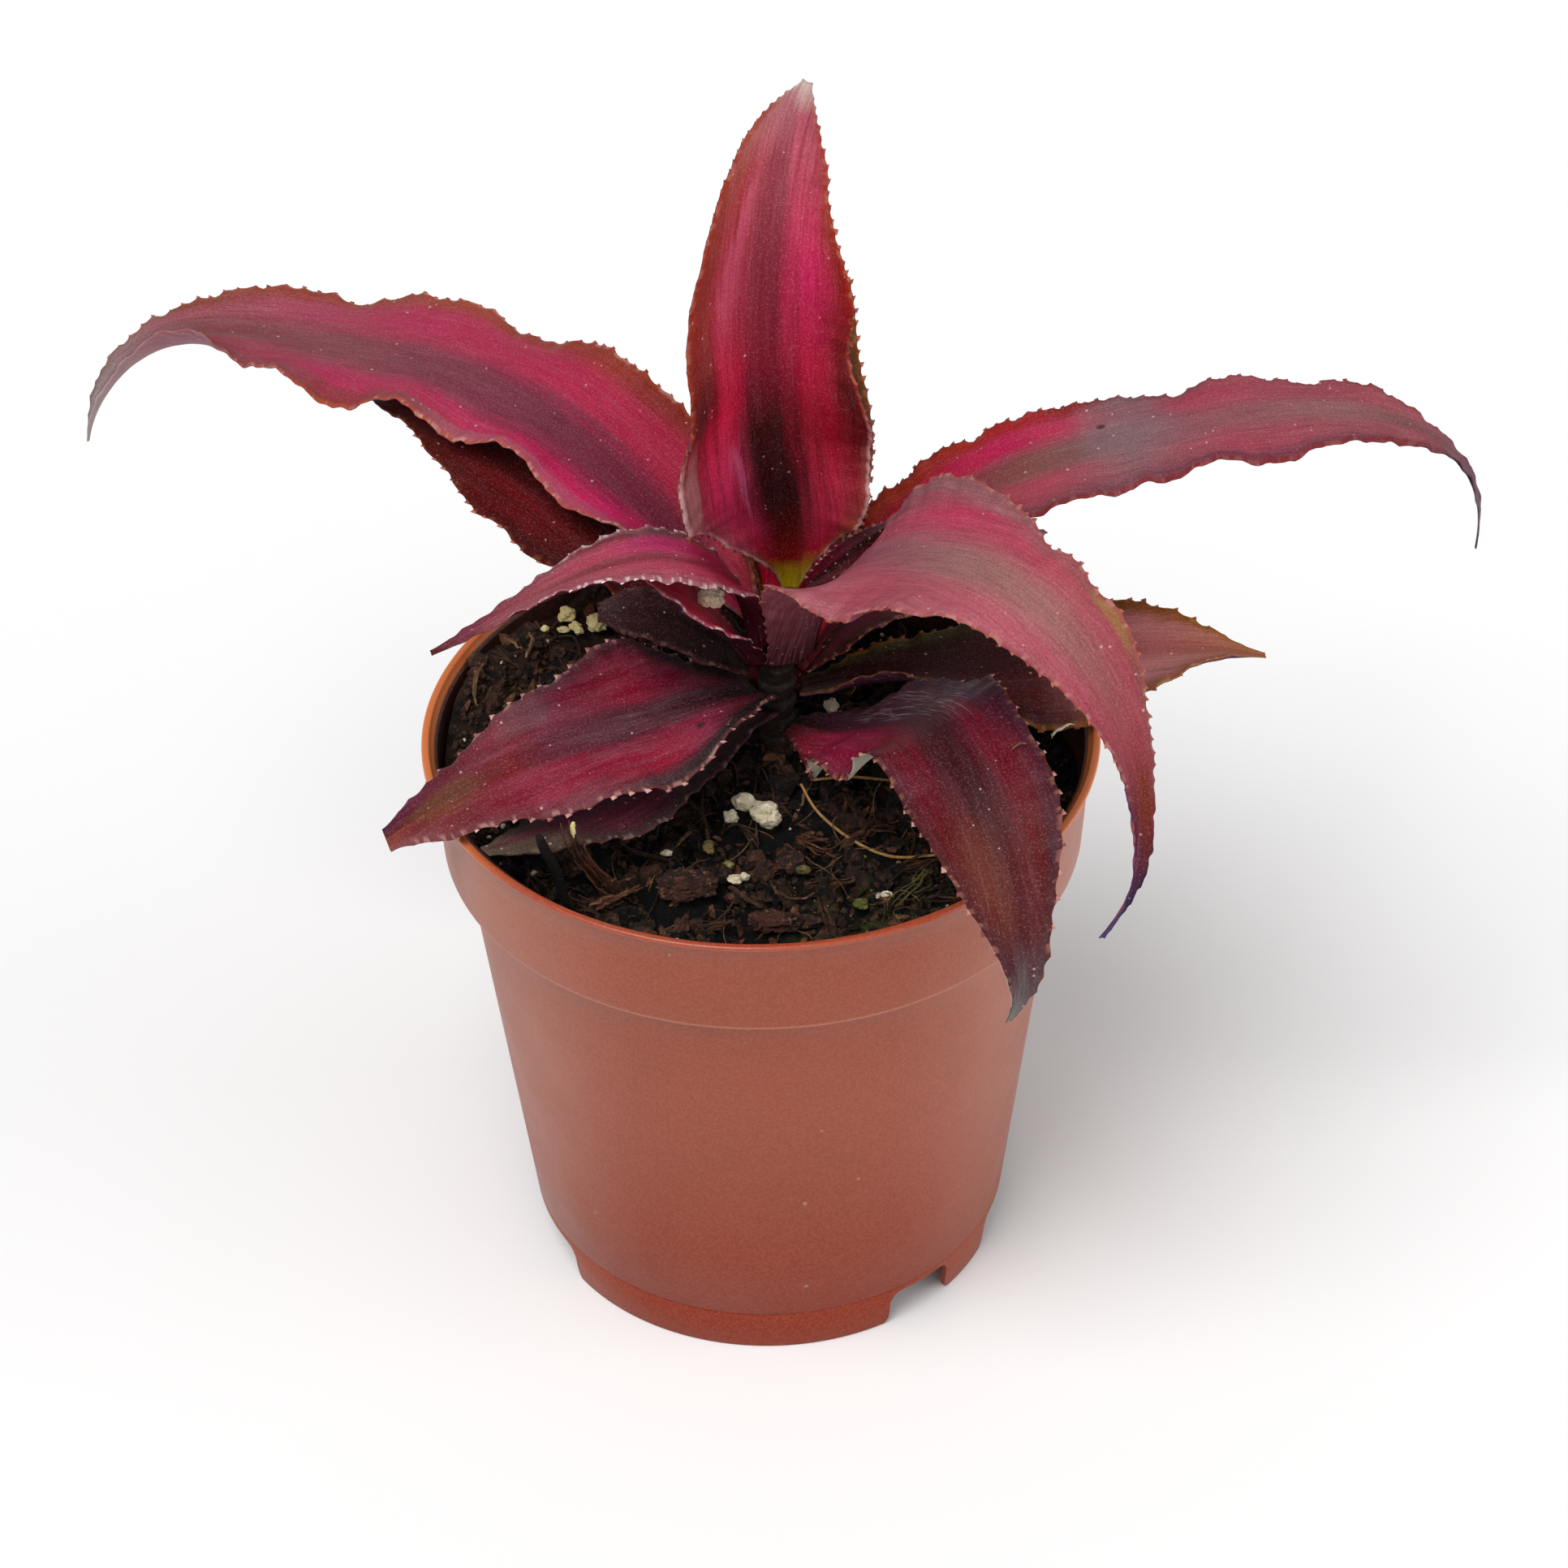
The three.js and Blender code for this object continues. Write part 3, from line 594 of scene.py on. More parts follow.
def wedge_blocks(spans):
    """One block for each span of degrees, as wide at each height as NOTCH_SIDE says."""
    points, faces, last = [], [], len(NOTCH_SIDE) - 1
    loop = len(NOTCH_SIDE) * 2
    ring = [(NOTCH_INNER, z, w) for z, w in NOTCH_SIDE]
    ring += [(NOTCH_OUTER, z, w) for z, w in reversed(NOTCH_SIDE)]
    for start, stop in spans:
        steps = max(4, int((stop - start) / 3))
        first = len(points)
        for share in np.linspace(0, 1, steps):
            for r, z, wide in ring:
                a = math.radians((start - wide) * (1 - share) + (stop + wide) * share)
                points.append((r * math.cos(a), r * math.sin(a), z))
        for i in range(steps - 1):
            a, b = first + loop * i, first + loop * (i + 1)
            faces += [(a + q, a + (q + 1) % loop, b + (q + 1) % loop, b + q) for q in range(loop)]
        for end in (first, first + loop * (steps - 1)):
            faces += [(end + q, end + q + 1, end + loop - 2 - q, end + loop - 1 - q) for q in range(last)]
    return points, faces


cutter = mesh_object("notch_cutter", *wedge_blocks(NOTCHES), (pot_paint,))
face_out(cutter)
cut = pot.modifiers.new("notches", "BOOLEAN")
cut.operation = "DIFFERENCE"
cut.solver = "EXACT"
cut.object = cutter
plain_mesh(pot)
bpy.data.objects.remove(cutter)
smooth(pot, 38)
show(pot, "pot_plastic", "pot")

# %% [markdown]
# ## Leaf shape
# Each leaf grows from the stem along its own midrib. The midrib is walked in small steps: its
# rise, its turn round the stem and the blade's roll change smoothly along it. Across it the blade
# is an arc, deeper where the leaf is cupped, and its margins ripple. These are the same numbers
# that the solids were made from, so the fine blade lies where the plain one does. Lofting curves
# would also work, but a formula keeps every leaf's rows and columns even, and so its stripes.

# %% Leaf table
STEM_AXIS = (2.2, 8.8)
STEM_RADIUS = 2.6
CLEARANCE = 0.3
BLADE_EDGE = 0.6
BLADE_RIB = 1.1

# name: base height, length, widths, rise, turn, roll, cup, skew, waves (left, right); millimetres
# and degrees, from base to tip; a wave is its height, how many there are and where they start
LEAVES = {
    "leaf_upright": (97, 81, [2.5, 22, 30.5, 27, 23.5, 13.5, 1.5], [82, 106, 102, 85, 48, 6],
        [58, 75, 78, 73], [31, 29, 20], [32, 62, 48], [0, 0.2, 0], [[1.3, 4.7, -0.12], [1.7, 4.2, 0.5]]),
    "leaf_back_shaded": (94, 64, [8, 19, 22.5, 19, 16, 9, 1], [57, 45, 33, 22, 14, 10], [81, 86, 87, 89],
        [8, 3, -1], [53, 28, 30], [-0.2, 0, -0.1], [[0.8, 4, 0], [0.8, 4, 0.5]]),
    "leaf_left_long": (91.5, 122, [3, 24, 26, 27, 29, 16, 1], [31, 23, 5, -7, 0, -75], [132, 139, 164, 216],
        [-5, -1, 12], [54, 4, 79], [-0.1, 0.05, 0.35], [[1.8, 5.9, 0.35], [1.6, 4.8, 0.63]]),
    "leaf_front_left_arching": (91, 59, [3.5, 10.5, 11.5, 10, 7, 3.5, 1], [94, 60, 26, -7, -23, -22],
        [220, 207, 201, 194], [-3, -5, -6], [50, 9, 35], [0, 0, 0], [[1.1, 1.5, 0.2], [0.5, 1.9, 0.3]]),
    "leaf_left_cupped": (90, 26, [8, 8, 11, 11.5, 8.5, 3.5, 1], [68, 58, 51, 49, 41, 23],
        [218, 208, 194, 181], [2, -7, -12], [62, 29, 33], [0, 0, 0], [[0, 1, 0], [0, 1, 0]]),
    "leaf_front_right_arching": (90.9, 114, [10, 19, 26.5, 15.5, 9, 2.5, 1], [79, 42, 18, -44, -86, -118],
        [-50, -48, -38, -30], [3, 24, 41], [45, 15, 45], [-0.1, 0, 0.05],
        [[1.9, 3.35, 0.29], [2.3, 3.7, -0.29]]),
    "leaf_right_long": (87.5, 118, [7.5, 16, 21.5, 16.5, 14.5, 5, 1], [61, 47, 16, 4, -30, -95],
        [2, 2, 8, 3], [2, 6, 14], [46, 1, 21], [0.1, 0, 0.05], [[0.6, 5.85, -0.2], [0.8, 6.2, -0.2]]),
    "leaf_left_stub": (87.5, 22, [7, 10, 11.5, 10, 9, 7.5, 3], [39, 37, 32, 22, 8, -9],
        [181, 182, 180, 176], [-13, -14, -26], [35, 13, 23], [0, 0, 0], [[0, 1, 0], [0, 1, 0]]),
    "leaf_left_dark": (86.5, 71, [10, 15.5, 18, 21, 15.5, 7, 1], [34, 27, 17, 13, 4, -16],
        [148, 144, 142, 140], [-12, -9, -6], [40, 13, 28], [0, 0.05, 0], [[0.8, 4, 0.2], [0.8, 4, 0.6]]),
    "leaf_front_left_broad": (84, 58, [9, 18.5, 25.5, 22, 16.5, 11.5, 4], [23, 10, 7, -5, -21, -34],
        [223, 214, 203, 192], [-1, -15, -13], [36, 9, 4], [-0.2, 0.05, 0.25],
        [[1, 3.65, 0.44], [1.2, 2.85, 0.46]]),
    "leaf_back_right_low": (84.5, 46, [6, 12, 15.5, 16, 12, 7, 1], [25, 15, 4, -4, -10, -16],
        [42, 40, 38, 36], [0, 0, 0], [34, 18, 20], [0, 0, 0], [[0.8, 3, 0.1], [0.8, 3, 0.6]]),
    "leaf_right_brown": (82.5, 63, [4.5, 9, 16, 22.5, 20, 10, 1], [16, 10, 6, 4, -5, -16], [-1, -1, 2, 7],
        [-2, 9, 10], [37, 7, 37], [0.05, -0.05, 0], [[0.9, 3, -0.22], [3, 1.5, 0.9]]),
    "leaf_back_left_low": (82, 52, [6, 13, 17, 17, 13, 7, 1], [23, 14, 5, -2, -9, -14],
        [116, 118, 121, 124], [0, 0, 0], [35, 18, 20], [0, 0, 0], [[0.8, 3, 0.5], [0.8, 3, 0.9]]),
    "leaf_front_left_lowest": (80.5, 49, [7, 10.5, 14, 16, 13, 7.5, 2], [7, 1, -1, 3, 9, 15],
        [225, 225, 222, 219], [5, 0, -3], [37, 7, 1], [0, 0.05, 0.1], [[0.6, 3, 0], [0.6, 3, 0.4]]),
    "leaf_back_low": (80, 44, [6, 11, 14.5, 15, 12, 6.5, 1], [21, 13, 6, -1, -7, -14], [78, 78, 80, 82],
        [-2, -1, 0], [34, 17, 20], [0, 0, 0], [[0.8, 3, 0.3], [0.8, 3, 0.7]]),
    "leaf_front_right_low": (78.5, 89, [4, 16.5, 23.5, 19.5, 18, 8, 1], [21, 37, 29, -20, -63, -120],
        [-49, -64, -69, -58], [17, 13, 7], [1, 4, 48], [-0.15, 0.05, 0], [[1, 4.6, 0.22], [2, 4.6, 0.1]]),
}
print(len(LEAVES), "leaves, together", sum(v[1] for v in LEAVES.values()), "mm long")


# %% [markdown]
# A few numbers from base to tip are not yet a curve. `along` runs a smooth curve through them, the
# midrib is then summed up step by step from its directions, and `blade_at` stands beside it: give
# it a column from one margin to the other, and it gives that column's points and normals.

# %% Walk the midrib
def along(values, s):
    """Smooth curve through evenly spaced values, read at s from 0 to 1."""
    values = np.asarray(values, float)
    last = len(values) - 1
    x = np.clip(s, 0, 1) * last
    i = np.minimum(np.floor(x).astype(int), last - 1)
    t = x - i
    a, b, c, d = (values[np.clip(i + q, 0, last)] for q in (-1, 0, 1, 2))
    return 0.5 * (2 * b + (c - a) * t + (2 * a - 5 * b + 4 * c - d) * t ** 2
                  + (-a + 3 * b - 3 * c + d) * t ** 3)


def curve_through(points, count):
    """A smooth line of so many points through a few given ones."""
    points = np.array(points, float)
    s = np.linspace(0, 1, count)
    return np.stack([along(points[:, q], s) for q in range(3)], 1)


def walk_midrib(leaf, rows):
    """Stations along one leaf: point, left and up directions and the local sizes."""
    base, length, widths, rise, turn, roll, cup, skew, waves = leaf
    s = np.linspace(0, 1, rows)
    r, t, o = (np.radians(along(v, s)) for v in (rise, turn, roll))
    forward = np.stack([np.cos(r) * np.cos(t), np.cos(r) * np.sin(t), np.sin(r)], -1)
    sideways = np.stack([-np.sin(t), np.cos(t), 0 * t], -1)
    lift = np.cross(forward, sideways)
    first_cup = math.radians(cup[0])
    hollow = widths[0] / 2 * (1 - math.cos(first_cup)) / first_cup
    start = STEM_RADIUS + CLEARANCE + max(math.sin(r[0]), 0) * (BLADE_RIB / 2 + hollow)
    point = np.zeros((rows, 3))
    point[0] = (STEM_AXIS[0] + start * math.cos(t[0]), STEM_AXIS[1] + start * math.sin(t[0]), base)
    point[1:] = point[0] + np.cumsum((forward[1:] + forward[:-1]) / 2 * length / (rows - 1), 0)
    cos_o, sin_o = np.cos(o)[:, None], np.sin(o)[:, None]
    return {
        "s": s, "point": point, "forward": forward,
        "left": sideways * cos_o + lift * sin_o, "up": lift * cos_o - sideways * sin_o,
        "half": np.maximum(along(widths, s), 1) / 2,
        "cup": np.maximum(np.radians(along(cup, s)), 0.01),
        "skew": along(skew, s), "waves": waves, "length": length,
    }


def blade_at(walk, u, outward=0.0, lift=0.0):
    """Points and normals at column u, from -1 on the right margin to 1 on the left one."""
    half = walk["half"] * (1 + walk["skew"] * u)
    angle = walk["cup"] * u
    across = half * np.sin(angle) / walk["cup"]
    rise = half * (1 - np.cos(angle)) / walk["cup"]
    high, count, phase = walk["waves"][0 if u > 0 else 1]
    s = walk["s"]
    fade = np.clip(s / 0.15, 0, 1) * np.clip((1 - s) / 0.3, 0, 1)
    rise = rise + high * fade * np.sin(2 * np.pi * (count * s + phase)) * u * u + lift
    cos_a, sin_a = np.cos(angle)[:, None], np.sin(angle)[:, None]
    outer = (walk["left"] * cos_a + walk["up"] * sin_a) * (1 if u > 0 else -1)
    normal = walk["up"] * cos_a - walk["left"] * sin_a
    spots = walk["point"] + walk["left"] * across[:, None] + walk["up"] * rise[:, None]
    return spots + outer * np.reshape(outward, (-1, 1)), normal, outer


def reach_along(line):
    """How far each point of a line lies from its start, measured along it."""
    return np.concatenate([[0], np.cumsum(np.linalg.norm(np.diff(line, axis=0), axis=1))])


midrib = walk_midrib(LEAVES["leaf_upright"], 200)["point"]
print("the upright leaf's midrib is", round(float(reach_along(midrib)[-1]), 1), "mm long")

# %% [markdown]
# ## Leaf margins
# An earth star's margin carries a small forward-pointing tooth every two millimetres or so, with a
# shallow scallop between two teeth. The teeth repeat along a path, so a Geometry Nodes tree places
# them: each point of the margin that carries one knows its direction and size, and the tree sets
# a five-sided flattened thorn there.


# %% The tooth tree
def make_tooth_tree():
    tree, wire, given, result = geometry_tree("margin_teeth", [
        ("Length", "NodeSocketFloat", 0.8 * MM), ("Seed", "NodeSocketInt", 1),
        ("Material", "NodeSocketMaterial", None)])
    add, long = wire.add, given.outputs["Length"]
    thorn = add("GeometryNodeMeshCone", Vertices=5, Radius_Top=0.0,
                Radius_Bottom=wire.times(long, 0.68), Depth=wire.times(long, 0.85))
    flat = add("GeometryNodeTransform", Geometry=thorn.outputs["Mesh"], Scale=(1.0, 0.34, 1.0))
    aim = add("FunctionNodeAlignRotationToVector", Vector=read_mark(wire, "tooth_aim", "FLOAT_VECTOR"))
    aim.axis = "Z"
    lay = add("FunctionNodeAlignRotationToVector", Rotation=aim.outputs[0],
              Vector=read_mark(wire, "tooth_up", "FLOAT_VECTOR"))
    lay.axis = "Y"
    lay.pivot_axis = "Z"
    grown = random_value(wire, given, 0.65, 1.15)
    place_all = add("GeometryNodeInstanceOnPoints", Points=given.outputs["Geometry"],
                    Instance=flat.outputs[0], Rotation=lay.outputs[0],
                    Scale=wire.times(grown, read_mark(wire, "tooth_size")))
    return end_tree(wire, given, result, place_all.outputs[0])


tooth_tree = make_tooth_tree()
print("tooth tree has", len(tooth_tree.nodes), "nodes")

# %% [markdown]
# ## Building one blade
# The upper and the lower face are two sheets of rows and columns, closed round the margin. Columns
# crowd towards the margins, where the blade thins to a rounded edge. Each point keeps how far it
# is across, along and from the margin in millimetres, which the finish reads, so that a stripe or
# an edge line has the same real width on a broad leaf and a narrow one.


# %% Blade builder
CROWDING = math.pi / 2 * 0.94
COLUMNS = np.sin(np.linspace(-1, 1, 27) * CROWDING) / math.sin(CROWDING)
ROW_PITCH = 0.5


def tooth_places(edge, pitch, random):
    """Distances along a margin at which it carries a tooth."""
    reach = reach_along(edge)
    at, places = pitch, []
    while at < reach[-1] - 1.2:
        places.append(at)
        at += pitch * random.uniform(0.75, 1.25)
    return reach, np.array(places)


def scallop(reach, places, depth):
    """How far the margin draws back between two teeth."""
    bounds = np.concatenate([[0], places, [reach[-1]]])
    k = np.clip(np.searchsorted(bounds, reach, side="right") - 1, 0, len(bounds) - 2)
    share = (reach - bounds[k]) / np.maximum(bounds[k + 1] - bounds[k], 1e-6)
    return -depth * np.sin(np.pi * np.clip(share, 0, 1)) ** 0.8


def margin_noise(walk, seed):
    """Small uneven ripples that every living margin has."""
    reach = walk["s"] * walk["length"]
    fade = np.clip(walk["s"] / 0.1, 0, 1) * np.clip((1 - walk["s"]) / 0.15, 0, 1)
    return fade * (0.22 * np.sin(reach * 1.13 + seed) + 0.16 * np.sin(reach * 2.07 + 2.3 * seed))


def sheet_mesh(name, upper, lower, paints):
    """A closed sheet from two grids of points, indexed by row and column."""
    rows, wide = upper.shape[:2]
    below = rows * wide
    i, j = np.meshgrid(np.arange(rows - 1), np.arange(wide - 1), indexing="ij")
    a = (i * wide + j).ravel()
    top_faces = np.stack([a, a + wide, a + wide + 1, a + 1], 1)
    low_faces = np.stack([a, a + 1, a + wide + 1, a + wide], 1) + below
    r = np.arange(rows - 1) * wide
    right_wall = np.stack([r, r + below, r + below + wide, r + wide], 1)
    q = r + wide - 1
    left_wall = np.stack([q, q + wide, q + below + wide, q + below], 1)
    c = np.arange(wide - 1)
    foot_wall = np.stack([c, c + 1, c + 1 + below, c + below], 1)
    e = c + (rows - 1) * wide
    tip_wall = np.stack([e, e + below, e + 1 + below, e + 1], 1)
    faces = np.concatenate([top_faces, low_faces, right_wall, left_wall, foot_wall, tip_wall])
    points = np.concatenate([upper.reshape(-1, 3), lower.reshape(-1, 3)])
    sheet = mesh_object(name, points, faces, paints)
    under = np.zeros(len(faces), int)
    under[len(top_faces):len(top_faces) + len(low_faces)] = 1
    sheet.data.polygons.foreach_set("material_index", under)
    return sheet


def mark_sheet(sheet, u, s, place):
    """Writes a sheet's UV map and the millimetre coordinates that the finish reads."""
    write_marks(sheet, "place", np.concatenate([place, place]), "FLOAT_VECTOR")
    flat = np.concatenate([np.stack([u / 2 + 0.5, s], 1)] * 2).astype(np.float32)
    layer = sheet.data.uv_layers.new(name="blade")
    corners = np.zeros(len(sheet.data.loops), int)
    sheet.data.loops.foreach_get("vertex_index", corners)
    layer.data.foreach_set("uv", flat[corners].ravel())


# how far a margin (leaf, side) swings out past the plain solid: {percent of its length: millimetres}
SWINGS = {
    ("leaf_right_long", 1): {5: 0, 10: 1.0, 15: 2.6, 18: 1.6, 21: 0, 23: -1.0, 25: -0.4, 28: -1.0, 30: -1.7,
        33: -0.5, 37: -0.8, 42: -1.4, 45: -0.3, 50: 0.4, 53: -1.4, 58: -0.2, 62: -0.7, 68: -1.4, 72: 0},
    ("leaf_right_long", -1): {33: 0, 37: 1.6, 41: 0.6, 44: 1.5, 47.5: -0.4, 51.5: 1.6, 55: 0.1, 60: 1.7,
        64: 1.2, 67: 0, 72: 1.0, 76: 0.6, 80: 0},
    ("leaf_left_long", -1): {25: -0.2, 32: -0.9, 35: -0.6, 38: 0.2, 43: -0.8, 48: -1.1, 50: 0, 52: -0.4,
        54.5: -2.1, 57: -1.2, 60: -0.3, 62: -0.9, 65: -1.7, 68: -0.2, 72: -1.0, 76: -1.2, 80: -0.5, 84: 0.3,
        88: 0},
    ("leaf_upright", 1): {50: 0, 55: 0.9, 60: 1.3, 63.5: 0.8, 66: 1.4, 70: 0.8, 78: -0.1, 80: -0.4, 84: 0.2,
        93: 0.2, 100: 0},
    ("leaf_upright", -1): {25: 0, 31: 0.5, 35: 0.3, 40: 1.0, 60: 1.2, 65: 0.9, 70: 0, 78: -0.2, 83: 0.1,
        88: -0.3, 95: 0.3, 100: 0},
    ("leaf_left_dark", 1): {35: 0, 44: 1.0, 50: -0.6, 54: 0.4, 58: 0.4, 62: -0.1, 68: -0.5, 74: 1.0,
        80: 0.3, 86: 0.4, 90: 1.2, 100: 0},
    ("leaf_front_right_arching", 1): {44: 0, 48: -1.3, 51.5: 0.2, 55: -0.9, 57: 0.4, 62: 0, 68: -0.6,
        72: -0.1, 80: -0.3, 100: 0},
    ("leaf_front_right_arching", -1): {29: 0, 32.3: 1.0, 35.5: 0.5, 37: 0, 40.5: 1.2, 42.7: 1.9, 44.8: 1.0,
        46.5: 0, 100: 0},
    ("leaf_right_brown", -1): {70: 0, 76: 1.2, 80: 1.2, 86: 0},
}
# margins whose teeth and scallops are worn smaller
WORN_MARGINS = {("leaf_right_long", -1): 0.4, ("leaf_left_long", 1): 0.6}


def build_blade(name, pitch, tooth, tooth_paint, paints, seed, hollow):
    """One leaf's blade and its teeth, which stand about pitch millimetres apart."""
    leaf = LEAVES[name]
    random = np.random.default_rng(seed)
    rows = max(30, int(leaf[1] / ROW_PITCH))
    walk = walk_midrib(leaf, rows)
    s, half = walk["s"], walk["half"]
    thin = np.clip(half / 3, 0.3, 1)
    edges, spots, wide = {}, [], len(COLUMNS)
    for side in (-1, 1):
        edge, _, _ = blade_at(walk, side)
        reach, places = tooth_places(edge, pitch, random)
        worn = WORN_MARGINS.get((name, side), 1)
        draw = scallop(reach, places, hollow) * thin * worn
        swings = SWINGS.get((name, side), {0: 0, 100: 0})
        swing = np.interp(s, np.array(list(swings)) / 100, list(swings.values()))
        swing = np.convolve(np.pad(swing, 2, "edge"), np.ones(5) / 5, "valid")
        edges[side] = (draw, swing)
        spots.append(tooth_points(walk, side, reach, places, draw + swing, seed, worn))
    upper, lower = [], []
    for u in COLUMNS:
        draw, swing = edges[1 if u > 0 else -1]
        ripple = margin_noise(walk, seed + (u > 0)) * abs(u) ** 3
        centre, normal, _ = blade_at(walk, u, draw * abs(u) ** 6 + swing * u * u, ripple)
        groove = 0.25 * math.exp(-(u / 0.08) ** 2) * thin
        edge_round = math.sqrt(max(0.0, 1 - (max(abs(u) - 0.9, 0) / 0.1) ** 2))
        thick = (BLADE_EDGE + (BLADE_RIB - BLADE_EDGE) * (1 - u * u) * (1 - 0.5 * s)) * thin
        thick = 0.14 + (thick - 0.14) * edge_round
        upper.append(centre + normal * (thick / 2 - groove * 0.5)[:, None])
        lower.append(centre - normal * (thick / 2)[:, None])
    blade = sheet_mesh(name + "_blade", np.stack(upper, 1), np.stack(lower, 1), paints)
    s, half, u = np.repeat(s, wide), np.repeat(half, wide), np.tile(COLUMNS, rows)
    mark_sheet(blade, u, s, np.stack([u * half, s * walk["length"], half * (1 - np.abs(u))], 1))
    smooth(blade)
    return blade, make_thorns(name, spots, tooth, tooth_paint, seed)


def read_at(places, reach, *rows):
    """Values of points or directions in a row, read where the row's reach is at these places."""
    return [np.stack([np.interp(places, reach, v[:, q]) for q in range(3)], 1) for v in rows]


def tooth_points(walk, side, reach, places, draw, seed, worn):
    """Where each tooth of one margin stands, where it points and how large it is."""
    ripple = margin_noise(walk, seed + (side > 0))
    edge, up, out, forward = read_at(
        places, reach, *blade_at(walk, side, draw - 0.12, ripple), walk["forward"])
    share = np.interp(places, reach, walk["s"])
    size = worn * np.clip(share / 0.08, 0.35, 1) * np.clip((1.02 - share) / 0.2, 0.3, 1)
    size = size * np.clip(np.interp(places, reach, walk["half"]) / 4.5, 0.35, 1)
    return edge, out * 0.85 + forward * 0.6, up, size


def make_thorns(name, spots, tooth, paint, seed):
    """All teeth of a leaf, from the points, aims, up directions and sizes of its margins."""
    points, aim, up, size = (np.concatenate([s[q] for s in spots]) for q in range(4))
    thorns = mesh_object(name + "_teeth", points, [])
    write_marks(thorns, "tooth_aim", aim, "FLOAT_VECTOR")
    write_marks(thorns, "tooth_up", up, "FLOAT_VECTOR")
    write_marks(thorns, "tooth_size", size)
    return run_tree(thorns, tooth_tree, Length=tooth * MM, Seed=seed, Material=paint)


print("columns across a blade:", len(COLUMNS), "and a row every", ROW_PITCH, "mm")

# %% [markdown]
# ## Leaf finish
# Seen from above, a leaf has a dark stripe over the midrib, a pink band on each side of it and a
# brownish margin, all three changing colour from base to tip. Fine streaks run lengthwise, and
# tiny grey scales lie on everything like dust. Painting each leaf by hand would not follow the
# blade's bends; stripes made from the blade's own coordinates do, and need only a few colours.

# %% Shared leaf groups
streak_group, w, streak_in, streak_out = group_tree(
    "leaf_streaks",
    [("Place", VECTOR, None), ("Seed", FLOAT, 0.0)],
    [("Wobble", FLOAT), ("Streak", FLOAT), ("Fine", FLOAT), ("Patch", FLOAT)])
flat = w.parts(streak_in.outputs["Place"])
where = w.add("ShaderNodeCombineXYZ", X=flat["X"], Y=flat["Y"], Z=w.times(streak_in.outputs["Seed"], 7.3))
where = where.outputs[0]
# label: how fine it is across and along the leaf, its detail and roughness
for label, across, lengthwise, detail, rough in (
        ("Wobble", 0.22, 0.06, 2.0, 0.5), ("Streak", 0.9, 0.035, 3.0, 0.55),
        ("Fine", 4.5, 0.16, 3.0, 0.6), ("Patch", 0.13, 0.07, 3.0, 0.6)):
    made = w.noise(w.stretch(where, across, lengthwise, 1), 1.0, detail, rough)
    w.feed(streak_out.inputs[label], w.minus(made, 0.5) if label == "Wobble" else made)

SCURF = srgb("bea8b0")
SHEEN = 0.018
BUMP = 0.0001


def pigment(code):
    """The colour under the wax, which lays an even, pale sheen over what one sees."""
    return tuple(max(v - SHEEN, 0.0008) for v in srgb(code)[:3]) + (1.0,)


class LeafPaint(Paint):
    """A finish that knows where on its leaf it is: s from base to tip, u from right to left."""

    def __init__(self, name, look, seed):
        super().__init__(name)
        uv = self.tree.nodes.new("ShaderNodeUVMap")
        uv.uv_map = "blade"
        split = self.parts(uv.outputs[0])
        self.s, self.u = split["Y"], self.scaled(split["X"], 2.0, -1.0)
        mark = self.tree.nodes.new("ShaderNodeAttribute")
        mark.attribute_name = "place"
        self.place = mark.outputs["Vector"]
        self.lines = use_group(self, streak_group, Place=self.place, Seed=float(seed))
        self.look = look

    def tones(self, label):
        """Colours from base to tip, made stronger by gain on a leaf that faces away from the light."""
        gain = self.look.get("gain", 1.0)
        return self.ramp(self.s, [(at / 100, tuple(v * gain for v in pigment(colour)[:3]) + (1.0,))
                                  for at, colour in self.look[label].items()])

    def follow(self, label):
        """A value from base to tip."""
        return self.level(self.s, self.look[label])

    def away_from(self, along_leaf, across_leaf):
        """0 in the middle of an oval and 1 on its rim; both are given as place and half size."""
        ds = self.sum("DIVIDE", self.minus(self.s, along_leaf[0]), along_leaf[1])
        du = self.sum("DIVIDE", self.minus(self.u, across_leaf[0]), across_leaf[1])
        return self.sum("SQRT", self.scaled(ds, ds, self.times(du, du)))


